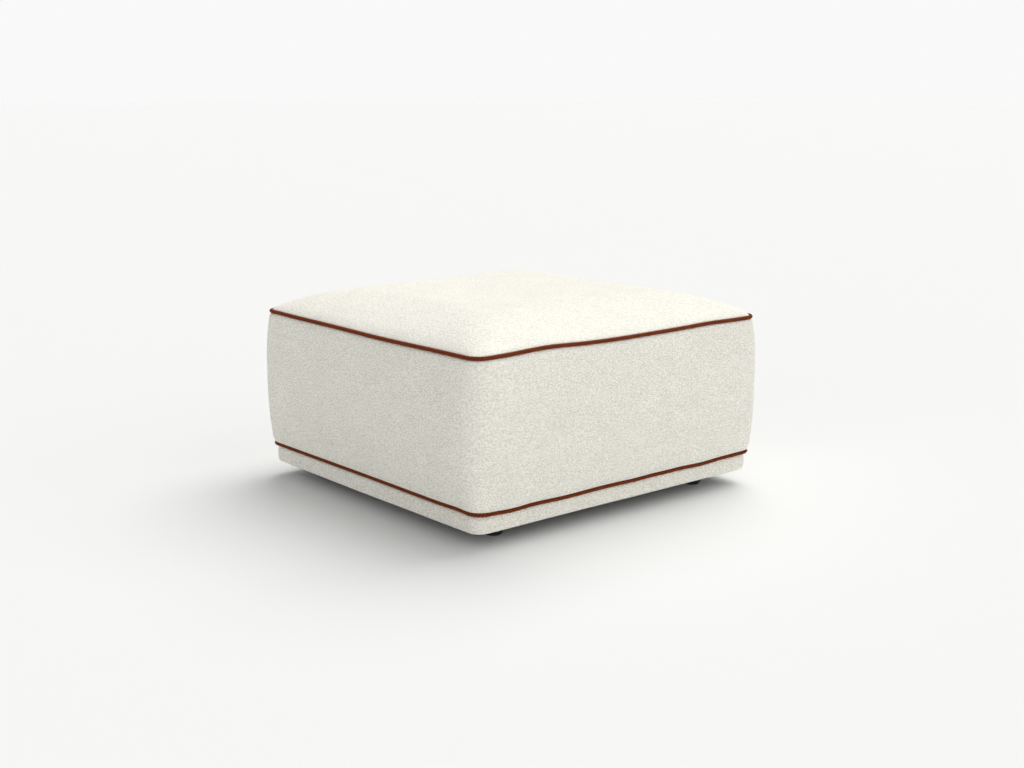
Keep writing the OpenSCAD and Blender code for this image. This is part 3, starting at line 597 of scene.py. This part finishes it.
def plated_metal(name, rgb, roughness):
    """Plated metal: bright, with a fine blur from the plating bath and dull patches
    where it has been handled."""
    made, tree, place = new_material(name)
    patch, grain = 0.004, 0.0006
    patches = add(tree, "TexNoise", {"Vector": place, "Scale": 1 / patch, "Detail": 3.0}, "Fac")
    dull = add(tree, "MapRange",
               {"Value": patches, "To Min": roughness - 0.08, "To Max": roughness + 0.12})
    tone = add(tree, "Mix",
               {"Factor": patches, 6: opaque(rgb), 7: opaque(tuple(0.8 * c for c in rgb))}, 2,
               data_type="RGBA")
    grit = add(tree, "TexNoise", {"Vector": place, "Scale": 1 / grain, "Detail": 2.0}, "Fac")
    bump = add(tree, "Bump", {"Strength": 0.1, "Distance": 0.0001, "Height": grit})
    surface = add(tree, "BsdfPrincipled",
                  {"Base Color": tone, "Metallic": 1.0, "Roughness": dull, "Normal": bump})
    add(tree, "OutputMaterial", {"Surface": surface})
    return made


def elastic_webbing(name, along):
    """Woven elastic webbing of polypropylene and rubber: black warp cords along the strap,
    crossed by a paler weft."""
    made, tree, place = new_material(name)
    warp_spacing, weft_spacing = 0.0016, 0.0022
    threads = []
    for axis, spacing in (("Y" if along == "X" else "X", warp_spacing), (along, weft_spacing)):
        way = add(tree, "SeparateXYZ", {"Vector": place}, axis)
        count = add(tree, "Math", {0: way, 1: 2 * math.pi / spacing}, operation="MULTIPLY")
        threads.append(add(tree, "Math", {0: count}, operation="SINE"))
    weave = add(tree, "Math", {0: threads[0], 1: threads[1]}, operation="MULTIPLY")
    height = add(tree, "MapRange", {"Value": weave, "From Min": -1.0, "From Max": 1.0})
    tone = add(tree, "Mix",
               {"Factor": height, 6: opaque(linear("#1B1B1D")), 7: opaque(linear("#3C3C40"))}, 2,
               data_type="RGBA")
    bump = add(tree, "Bump", {"Strength": 0.5, "Distance": 0.0004, "Height": height})
    surface = add(tree, "BsdfPrincipled", {"Base Color": tone, "Roughness": 0.75, "Normal": bump})
    add(tree, "OutputMaterial", {"Surface": surface})
    return made


# The cover

def crown_share(inwards, sizes):
    """How high the top has risen at a distance inwards from its seam, from 0 to 1."""
    rest = 1 - np.clip(inwards / (sizes.seam_half_d - 0.001), 0, 1)
    return (1 - rest ** CROWN_POWER) ** CROWN_ROOT


def make_top(sizes, cloth):
    """The crowned top panel and the seat's padding under it, down to the deck."""
    wall = PAD_DEPTH + SLIT
    top, deck = sizes.top_seam_z, SEAT_FOAM[0].z
    # The turned edge behind the cord, then the padding's upright sides: how far in from the
    # seams' line, and a height
    rows = ((0.0043, top + 0.0016), (0.0052, top + 0.00035), (0.0140, top + 0.0003),
            (wall, top + 0.0003), (wall, top - 0.030), (wall, top - 0.060),
            (wall, deck + 0.002), (wall + 0.002, deck))
    bm = bmesh.new()
    bmesh.ops.create_grid(bm, x_segments=CROWN_STEPS, y_segments=CROWN_STEPS, size=1.0)
    rim = grow(bm, [e for e in bm.edges if e.is_boundary], len(rows))
    under = set(bmesh.ops.create_grid(
        bm, x_segments=CROWN_STEPS, y_segments=CROWN_STEPS, size=1.0,
        matrix=Matrix.Translation((0, 0, -len(rows) - 1)))["verts"])
    under_rim = [e for e in bm.edges if e.is_boundary and under.issuperset(e.verts)]
    bmesh.ops.bridge_loops(bm, edges=rim + under_rim)
    piece = add_piece("top_cover", bm, cloth,
                      ("cover_top", "top_wadding", "seat_topper", "seat_foam"))
    raw = coordinates(piece.data)
    a, b = raw[:, 0], raw[:, 1]
    level = np.round(-raw[:, 2]).astype(int)
    share = square_share(a, b)
    size = np.maximum(np.abs(a), np.abs(b))
    # From the rim inwards, closer together beside the seam
    inner = (1 - np.clip(size, 0, 1)) ** 1.3
    # The cloth leaves the seam on the cord's inner shoulder
    lip_in, lip_up = 0.0029, 0.00345
    half_w, half_d = sizes.seam_half_w - lip_in, sizes.seam_half_d - lip_in
    inwards = inner * half_d
    roundest = 0.985 * half_d * (1 - inner) + 1e-6
    radius = np.minimum(sizes.seam_r - lip_in + CORNER_GROWTH * inwards, roundest)
    x, y, _, _ = around(share, half_w * (1 - inner), half_d * (1 - inner), radius)
    low = top + lip_up
    z = low + (sizes.crown_z - low) * crown_share(inwards, sizes)
    for step, (back, height) in enumerate(rows, 1):
        here = level == step
        x[here], y[here], _, _ = around(share[here], sizes.seam_half_w - back,
                                        sizes.seam_half_d - back,
                                        max(sizes.seam_r - back, SHARPEST))
        z[here] = height
    # The flat underside on the deck
    here = level > len(rows)
    corner = 0.004
    back = wall + corner
    x[here], y[here], _, _ = around(share[here], (sizes.seam_half_w - back) * size[here],
                                    (sizes.seam_half_d - back) * size[here],
                                    np.minimum(corner, 0.5 * size[here] * half_d + 1e-6))
    z[here] = deck
    set_coordinates(piece.data, np.stack([x, y, z], 1))

    beside = np.where(level > 0, 0.0, inwards)
    free = freedom(beside, 0.004)
    press_out(piece, free, sizes.swell)

    # The padding's unevenness, and the sewn edge that strays with the cord
    places = coordinates(piece.data)
    waves = padding_waves(places, 0.11, 0.045, 0.7, 1)
    places[:, 2] += 1.3 * sizes.unevenness * waves * free
    places[:, 2] += wander(share, TOP_WANDER, beside)
    set_coordinates(piece.data, places)
    finer(piece)


def band_levels(sizes):
    """The band's section from behind the top cord to under the bottom one and up again
    inside: a distance out from the seams' line, a height, and how free it is."""
    top, low = sizes.top_seam_z, sizes.low_seam_z
    rows = [(-0.0140, top - 0.0003, 0.0), (-0.0052, top - 0.00035, 0.0),
            (-0.0043, top - 0.0016, 0.0), (-0.0031, top - 0.0034, 0.0),
            (-0.0006, top - 0.0046, 0.0)]
    belly_top, belly_low = top - 0.0052, low + 0.0072
    for i in range(1, BELLY_STEPS):
        share = (1 + math.cos(math.pi * i / BELLY_STEPS)) / 2
        out = sizes.belly * (1 - abs(2 * share - 1) ** BELLY_POWER) ** BELLY_ROOT
        out -= sizes.low_draw_in * (1 - share)
        # The padding rolls over the bottom cord further than it does under the top one
        out += 0.0022 * (1 - share) ** 6
        z = belly_low + share * (belly_top - belly_low)
        rows.append((out, z, freedom(min(belly_top - z, z - belly_low), 0.002)))
    # Round the bottom cord, then in to the side panels
    draw = -sizes.low_draw_in
    rows += [(draw + 0.0036, low + 0.0060, 0.0), (draw + 0.0028, low + 0.0050, 0.0),
             (draw + 0.0018, low + 0.0046, 0.0), (draw + 0.0004, low + 0.0047, 0.0),
             (draw - 0.0008, low + 0.0047, 0.0), (draw - 0.0032, low + 0.0036, 0.0),
             (draw - 0.0046, low + 0.0014, 0.0), (draw - 0.0060, low - 0.0013, 0.0),
             (-0.0200, low - 0.0014, 0.0), (-PAD_DEPTH, low - 0.0012, 0.0)]
    # Up the inside, against the side panels
    rows += [(-PAD_DEPTH, low + (top - low) * share, 0.0) for share in (0.2, 0.4, 0.6, 0.8)]
    rows.append((-PAD_DEPTH, top - 0.0003, 0.0))
    return rows


def make_band(sizes, cloth):
    """The boxing band with its wadding and foam: one closed pad round the body."""
    rows = band_levels(sizes)
    piece, share, level = ring_piece(
        "band_cover", len(rows), cloth, ("cover_band", "side_wadding", "side_foam_front",
                                         "side_foam_back", "side_foam_left", "side_foam_right"))
    out, z, free = np.array(rows)[level].T
    nx, ny = place_ring(piece, sizes, share, out, z)
    press_out(piece, free, sizes.swell)

    places = coordinates(piece.data)
    push = 1.4 * sizes.unevenness * padding_waves(places, 0.10, 0.040, 0.65, 3) * free
    places[:, 0] += nx * push
    places[:, 1] += ny * push
    places[:, 2] += wander(share, TOP_WANDER, np.maximum(sizes.top_seam_z - z, 0))
    places[:, 2] += wander(share, LOW_WANDER, np.maximum(z - sizes.low_seam_z, 0))
    set_coordinates(piece.data, places)
    finer(piece)


def make_plinth(sizes, cloth):
    """The plinth's cover and padding: a closed ring over the four rails."""
    low, high = PLINTH[0].z, PLINTH[1].z
    mid = (low + high) / 2
    side = PLINTH[1].x - sizes.seam_half_w
    # The padding lies against the rails' outer, lower and upper faces
    rail = -(sizes.seam_half_d + PLINTH_RAIL[0].y - 0.0003)
    under, over = PLINTH_RAIL[0].z - 0.0001, PLINTH_RAIL[1].z + 0.0001
    bend, back = -0.030, -TURNED_IN
    outside = [(back, low + 0.0002), (bend, low + 0.0001), (-0.0175, low + 0.0001),
               (side - 0.0056, low + 0.0003), (side - 0.0030, low + 0.0009),
               (side - 0.0012, low + 0.0022), (side - 0.0002, low + 0.0044),
               (side + 0.0003, low + 0.0105), (side + 0.0008, mid),
               (side + 0.0002, high - 0.0135), (side - 0.0013, high - 0.0085),
               (side - 0.0034, high - 0.0046), (side - 0.0066, high - 0.0020),
               (side - 0.0108, high - 0.0006)]
    inside = [(bend, high - 0.0001), (back, high - 0.0002), (back, over), (bend, over),
              (rail, over), (rail, mid), (rail, under), (bend, under), (back, under)]
    # Each point of the section: out from the seams' line, and a height
    section = np.array(outside + inside)
    piece, share, level = ring_piece("plinth_cover_padded", len(section), cloth,
                                     ("plinth_cover", "plinth_padding"))
    out, z = section[level].T
    nx, ny = place_ring(piece, sizes, share, out, z)
    # Only the outside is soft, and less so where the cover turns in
    soft = np.clip((out + 0.016) / 0.008, 0, 1) * (level < len(outside))
    press_out(piece, 0.8 * soft, 0.4 * sizes.swell)
    places = coordinates(piece.data)
    push = sizes.unevenness * padding_waves(places, 0.08, 0.030, 0.6, 5) * soft
    places[:, 0] += nx * push
    places[:, 1] += ny * push
    # Its lower edge is a soft roll that hangs below the rails, further at the left side
    hang = np.interp(level, range(9), (0, 0.1, 0.7, 1, 1, 0.96, 0.84, 0.5, 0))
    places[:, 2] -= (0.0019 + 0.0015 * hump(share, 0.5, 0.12)) * hang
    set_coordinates(piece.data, places)
    finer(piece)


# The cords

def make_cord(name, sizes, material, draw_in, height, bumps, replaced):
    """A seam's cord: strands twisted round the seam's line, closed into a ring."""
    half_w, half_d = sizes.seam_half_w - draw_in, sizes.seam_half_d - draw_in
    radius = sizes.seam_r - draw_in
    round_length = 4 * (half_w + half_d - 2 * radius) + 2 * math.pi * radius
    turns = round(round_length / sizes.cord_pitch)
    # Round strands that touch: together they measure cord_d across
    strand_r = 0.245 * sizes.cord_d
    lay_r = sizes.cord_d / 2 - strand_r
    steps = turns * STRAND_STEPS
    share = np.arange(steps) / steps
    x, y, nx, ny = around(share, half_w, half_d, radius)
    z = height + wander(share, bumps)
    curve = bpy.data.curves.new(name, "CURVE")
    curve.dimensions = "3D"
    curve.bevel_depth = strand_r
    curve.bevel_resolution = 2
    curve.twist_mode = "MINIMUM"
    for strand in range(sizes.cord_strands):
        turn = 2 * math.pi * (share * turns + strand / sizes.cord_strands)
        # Each strand's own slackness changes a little along the cord
        slack = 1 + 0.05 * np.sin(2 * math.pi * share * 37 + 2.1 * strand)
        out, up = lay_r * slack * np.cos(turn), lay_r * slack * np.sin(turn)
        spline = curve.splines.new("POLY")
        spline.points.add(steps - 1)
        places = np.stack([x + nx * out, y + ny * out, z + up, np.ones(steps)], 1)
        spline.points.foreach_set("co", places.astype(np.float32).ravel())
        spline.use_cyclic_u = True
    line = bpy.data.objects.new(name + "_line", curve)
    bpy.context.scene.collection.objects.link(line)
    bpy.context.view_layer.update()
    mesh = bpy.data.meshes.new_from_object(line.evaluated_get(
        bpy.context.evaluated_depsgraph_get()))
    mesh.name = name
    bpy.data.objects.remove(line)
    bpy.data.curves.remove(curve)
    mesh.shade_smooth()
    # How far each point lies from the cord's middle: the material paints shade where the strands
    # meet
    from_middle = nearest_distance(coordinates(mesh), np.stack([x, y, z], 1))
    core_r = 0.45 * sizes.cord_d / 2
    outside = np.clip((from_middle - core_r) / core_r, 0, 1)
    mesh.attributes.new("outside", "FLOAT", "POINT").data.foreach_set(
        "value", outside.astype(np.float32))
    return place_piece(name, mesh, material, replaced)


def nearest_distance(points, line):
    """The distance of each point to the nearest point of a line."""
    tree = KDTree(len(line))
    for i, p in enumerate(line):
        tree.insert(p, i)
    tree.balance()
    return np.array([tree.find(p)[2] for p in points])


# The linings

def make_lining(name, node, material, sag, seed, holes=()):
    """A thin lining stretched over the frame, with a little sag and soft waves."""
    low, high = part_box(node)
    half_w, half_d = high.x, high.y
    # The faces that a hole meets, and the edges that are drawn in to its rim, in hole radii
    cut, drawn = 1.3, 2.5
    bm = bmesh.new()
    bmesh.ops.create_grid(bm, x_segments=LINING_STEPS, y_segments=LINING_STEPS, size=1.0)
    bmesh.ops.scale(bm, verts=bm.verts, vec=(half_w, half_d, 1))
    for x, y, radius in holes:
        centre = Vector((x, y, 0))
        bmesh.ops.delete(bm, context="FACES", geom=[
            f for f in bm.faces if (f.calc_center_median() - centre).length < cut * radius])
        for v in bm.verts:
            if v.is_boundary and (v.co - centre).length < drawn * radius:
                v.co = centre + (v.co - centre).normalized() * radius
    piece = add_piece(name, bm, material, (node,))
    places = coordinates(piece.data)
    inside = (1 - (places[:, 0] / half_w) ** 2) * (1 - (places[:, 1] / half_d) ** 2)
    places[:, 2] = (low.z + high.z) / 2 - sag * inside
    places[:, 2] += 0.5 * sag * soft_waves(places, 0.12, seed) * np.sqrt(inside)
    set_coordinates(piece.data, places)
    thick = piece.modifiers.new("Thickness", "SOLIDIFY")
    thick.thickness = 0.0006
    thick.offset = 0.0


# Operators and panel

class OTTOMAN_OT_stage(bpy.types.Operator):
    """Makes the floor, the light and the camera"""

    bl_idname = "ottoman.stage"
    bl_label = "Floor, light and camera"

    def execute(self, context):
        colours = context.scene.ottoman_colours
        scene = context.scene
        scene.view_settings.view_transform = "Standard"

        # The camera looks at the front left corner, a little from above
        turn, tilt = math.radians(CAMERA_TURN), math.radians(CAMERA_TILT)
        right = Vector((math.cos(turn), math.sin(turn), 0))
        back = Vector((math.sin(turn) * math.cos(tilt), -math.cos(turn) * math.cos(tilt),
                       math.sin(tilt)))
        up = back.cross(right)
        place = (CAMERA_RIGHT * right + CAMERA_UP * up + CAMERA_BACK * back
                 + Vector((0, 0, CAMERA_AIM)))
        lens = bpy.data.cameras.new("camera")
        lens.lens = CAMERA_LENS
        lens.sensor_width = CAMERA_SENSOR
        lens.sensor_fit = "HORIZONTAL"
        lens.clip_end = 200.0
        camera = bpy.data.objects.new("camera", lens)
        camera.matrix_world = Matrix.Translation(place) @ Matrix(
            (right, up, back)).transposed().to_4x4()
        scene.collection.objects.link(camera)
        scene.camera = camera

        # Matt painted floor: pale and even, with faint broad clouds from the roller
        bm = bmesh.new()
        bmesh.ops.create_grid(bm, x_segments=8, y_segments=8, size=FLOOR_REACH)
        bmesh.ops.translate(bm, verts=bm.verts, vec=(0, 0, -FLOOR_DROP))
        mesh = bpy.data.meshes.new("floor")
        bm.to_mesh(mesh)
        bm.free()
        floor = bpy.data.objects.new("floor", mesh)
        scene.collection.objects.link(floor)
        made, tree, here = new_material("painted_studio_floor")
        clouds = add(tree, "TexNoise", {"Vector": here, "Scale": 1.5, "Detail": 3.0}, "Fac")
        tone = add(tree, "Mix", {"Factor": clouds, 6: opaque(colours.floor),
                                 7: opaque(tuple(0.995 * c for c in colours.floor))}, 2,
                   data_type="RGBA")
        surface = add(tree, "BsdfPrincipled",
                      {"Base Color": tone, "Roughness": 0.9, "Specular IOR Level": 0.1})
        add(tree, "OutputMaterial", {"Surface": surface})
        mesh.materials.append(made)

        # One lamp high on the right and behind, and two weak ones low in front and on the left
        for name, (strength, width, high, towards, tint) in LAMPS.items():
            lamp = bpy.data.lights.new(name, "SUN")
            lamp.energy = strength * math.pi
            lamp.angle = math.radians(width)
            lamp.color = tint
            high, towards = math.radians(high), math.radians(towards)
            source = Vector((math.cos(towards) * math.cos(high),
                             math.sin(towards) * math.cos(high), math.sin(high)))
            sun = bpy.data.objects.new(name, lamp)
            sun.rotation_euler = source.to_track_quat("Z", "Y").to_euler()
            scene.collection.objects.link(sun)

        # The room lights the ottoman evenly, and the camera sees the backdrop in its place
        world = bpy.data.worlds.new("studio")
        world.use_nodes = True
        tree = world.node_tree
        tree.nodes.clear()
        room = add(tree, "Background", {"Color": opaque(ROOM_TINT), "Strength": ROOM_LIGHT})
        seen = add(tree, "Background", {"Color": opaque(colours.backdrop), "Strength": 1.0})
        path = tree.nodes.new("ShaderNodeLightPath")
        either = add(tree, "Math",
                     {0: path.outputs["Is Camera Ray"], 1: path.outputs["Is Glossy Ray"]},
                     operation="MAXIMUM")
        shown = add(tree, "Math", {0: either, 1: path.outputs["Is Transmission Ray"]},
                    operation="MAXIMUM")
        mixed = add(tree, "MixShader", {0: shown, 1: room, 2: seen})
        add(tree, "OutputWorld", {"Surface": mixed})
        scene.world = world
        return {"FINISHED"}


class OTTOMAN_OT_cover(bpy.types.Operator):
    """Makes the crowned top, the boxing band and the plinth's cover, with their padding"""

    bl_idname = "ottoman.cover"
    bl_label = "Cover and padding"

    def execute(self, context):
        sizes, colours = context.scene.ottoman_sizes, context.scene.ottoman_colours
        upright = looped_boucle("looped_boucle_on_the_sides", colours, sizes.loop,
                                0.28 * sizes.loop, 0.0)
        # The seat's copy lifts the painted shade between its loops by 0.35 towards the loops'
        # colour, so the top reads lighter than the sides
        seat = looped_boucle("looped_boucle_on_the_seat", colours, sizes.loop,
                             0.14 * sizes.loop, 0.35)
        make_top(sizes, seat)
        make_band(sizes, upright)
        make_plinth(sizes, upright)
        return {"FINISHED"}


class OTTOMAN_OT_cords(bpy.types.Operator):
    """Makes the two twisted cords in the seams"""

    bl_idname = "ottoman.cords"
    bl_label = "Seam cords"

    def execute(self, context):
        sizes, colours = context.scene.ottoman_sizes, context.scene.ottoman_colours
        yarn = twisted_viscose("twisted_viscose_yarn", colours)
        make_cord("top_seam_cord", sizes, yarn, 0.0, sizes.top_seam_z, TOP_WANDER,
                  ("cord_top",))
        make_cord("bottom_seam_cord", sizes, yarn, sizes.low_draw_in, sizes.low_seam_z,
                  LOW_WANDER, ("cord_bottom",))
        return {"FINISHED"}


class OTTOMAN_OT_linings(bpy.types.Operator):
    """Makes the dust cover, the deck cloth and the cloth under the body"""

    bl_idname = "ottoman.linings"
    bl_label = "Linings"

    def execute(self, context):
        black = spunbond("spunbonded_black_polypropylene", "#101011", "#2E2E30")
        white = spunbond("spunbonded_white_polypropylene", "#C9C9C4", "#F0F0EC")
        # The dust cover is cut out round each foot
        foot, hole_r = (FOOT[0] + FOOT[1]) / 2, 0.014
        holes = [(sx * foot.x, sy * foot.y, hole_r) for sx in (1, -1) for sy in (1, -1)]
        make_lining("dust_cover_lining", "dust_cover", black,
                    0.0012, 7, holes)
        make_lining("deck_lining", "deck_cloth", white,
                    0.0, 8)
        make_lining("under_lining", "body_under_cloth", black,
                    0.0, 9)
        return {"FINISHED"}


def finish_nodes(material, *names):
    """Gives CAD nodes a material. A name ending in * stands for all that start so."""
    for name in names:
        found = [o for key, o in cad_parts.items()
                 if key == name or (name[-1] == "*" and key.startswith(name[:-1]))]
        if not found:
            raise RuntimeError("no node is named " + name)
        for node in found:
            node.data.materials.clear()
            node.data.materials.append(material)


class OTTOMAN_OT_feet(bpy.types.Operator):
    """Finishes the feet, their glides and their studs"""

    bl_idname = "ottoman.feet"
    bl_label = "Feet"

    def execute(self, context):
        colours = context.scene.ottoman_colours
        finish_nodes(satin_lacquer("satin_black_lacquer_on_beech", tuple(colours.feet)), "foot_*")
        finish_nodes(fibrous("pressed_wool_felt", "#1C1B1A", "#3A3836", 0.0011, 0.0004),
                     "felt_glides")
        finish_nodes(plated_metal("zinc_plated_steel", linear("#C9CCD0"), 0.32),
                     "foot_studs", "tee_nuts", "wood_screws", "dust_cover_staples",
                     "joining_bolts", "bolt_washers", "panel_pins", "webbing_staples")
        finish_nodes(plated_metal("turned_brass", linear("#D8B45E"), 0.28), "threaded_inserts")
        return {"FINISHED"}


class OTTOMAN_OT_frame(bpy.types.Operator):
    """Finishes the timber frames, panels and webbing"""

    bl_idname = "ottoman.frame"
    bl_label = "Frame and webbing"

    def execute(self, context):
        colours = context.scene.ottoman_colours
        pale, dark = tuple(colours.timber_pale), tuple(colours.timber_dark)
        rails = ("plinth_rail_", "lower_rail_", "upper_rail_")
        finish_nodes(planed_timber("planed_pine_left_to_right", pale, dark, "X"),
                     *(rail + side for rail in rails for side in ("front", "back")))
        finish_nodes(planed_timber("planed_pine_front_to_back", pale, dark, "Y"),
                     "plinth_cross_rail", "centre_rail",
                     *(rail + side for rail in rails for side in ("left", "right")))
        finish_nodes(planed_timber("planed_pine_upright", pale, dark, "Z"), "corner_post_*")
        finish_nodes(layered_plywood("birch_plywood"), "plinth_block_*")
        finish_nodes(fibrous("pressed_hardboard", "#4A3323", "#7A5B40", 0.0016, 0.0002, 0.6,
                             0.0), "side_panel_*")
        finish_nodes(planed_timber("turned_beech", linear("#D9B48C"), linear("#B98A60"), "X",
                                   0.004), "rail_dowels")
        finish_nodes(elastic_webbing("elastic_webbing_left_to_right", "X"), "webbing_lengthways")
        finish_nodes(elastic_webbing("elastic_webbing_front_to_back", "Y"), "webbing_crossways")
        return {"FINISHED"}


PIECE_OPERATORS = (OTTOMAN_OT_cover, OTTOMAN_OT_cords, OTTOMAN_OT_linings, OTTOMAN_OT_feet,
                   OTTOMAN_OT_frame)


class OTTOMAN_PT_panel(bpy.types.Panel):
    """Lists the steps that build the ottoman"""

    bl_label = "Ottoman"
    bl_idname = "OTTOMAN_PT_panel"
    bl_space_type = "VIEW_3D"
    bl_region_type = "UI"
    bl_category = "Ottoman"

    def draw(self, context):
        for step in (OTTOMAN_OT_stage, *PIECE_OPERATORS):
            self.layout.operator(step.bl_idname)
        for group in (context.scene.ottoman_sizes, context.scene.ottoman_colours):
            box = self.layout.box()
            for key in group.bl_rna.properties.keys():
                if key not in ("rna_type", "name"):
                    box.prop(group, key)


CLASSES = (OttomanSizes, OttomanColours, OTTOMAN_OT_stage, *PIECE_OPERATORS, OTTOMAN_PT_panel)


def register():
    for item in CLASSES:
        bpy.utils.register_class(item)
    bpy.types.Scene.ottoman_sizes = PointerProperty(type=OttomanSizes)
    bpy.types.Scene.ottoman_colours = PointerProperty(type=OttomanColours)


def unregister():
    del bpy.types.Scene.ottoman_sizes
    del bpy.types.Scene.ottoman_colours
    for item in reversed(CLASSES):
        bpy.utils.unregister_class(item)


def main():
    register()
    bpy.ops.ottoman.stage()
    bpy.ops.ottoman.cover()
    bpy.ops.ottoman.cords()
    bpy.ops.ottoman.linings()
    bpy.ops.ottoman.feet()
    bpy.ops.ottoman.frame()


if __name__ == "__main__":
    main()
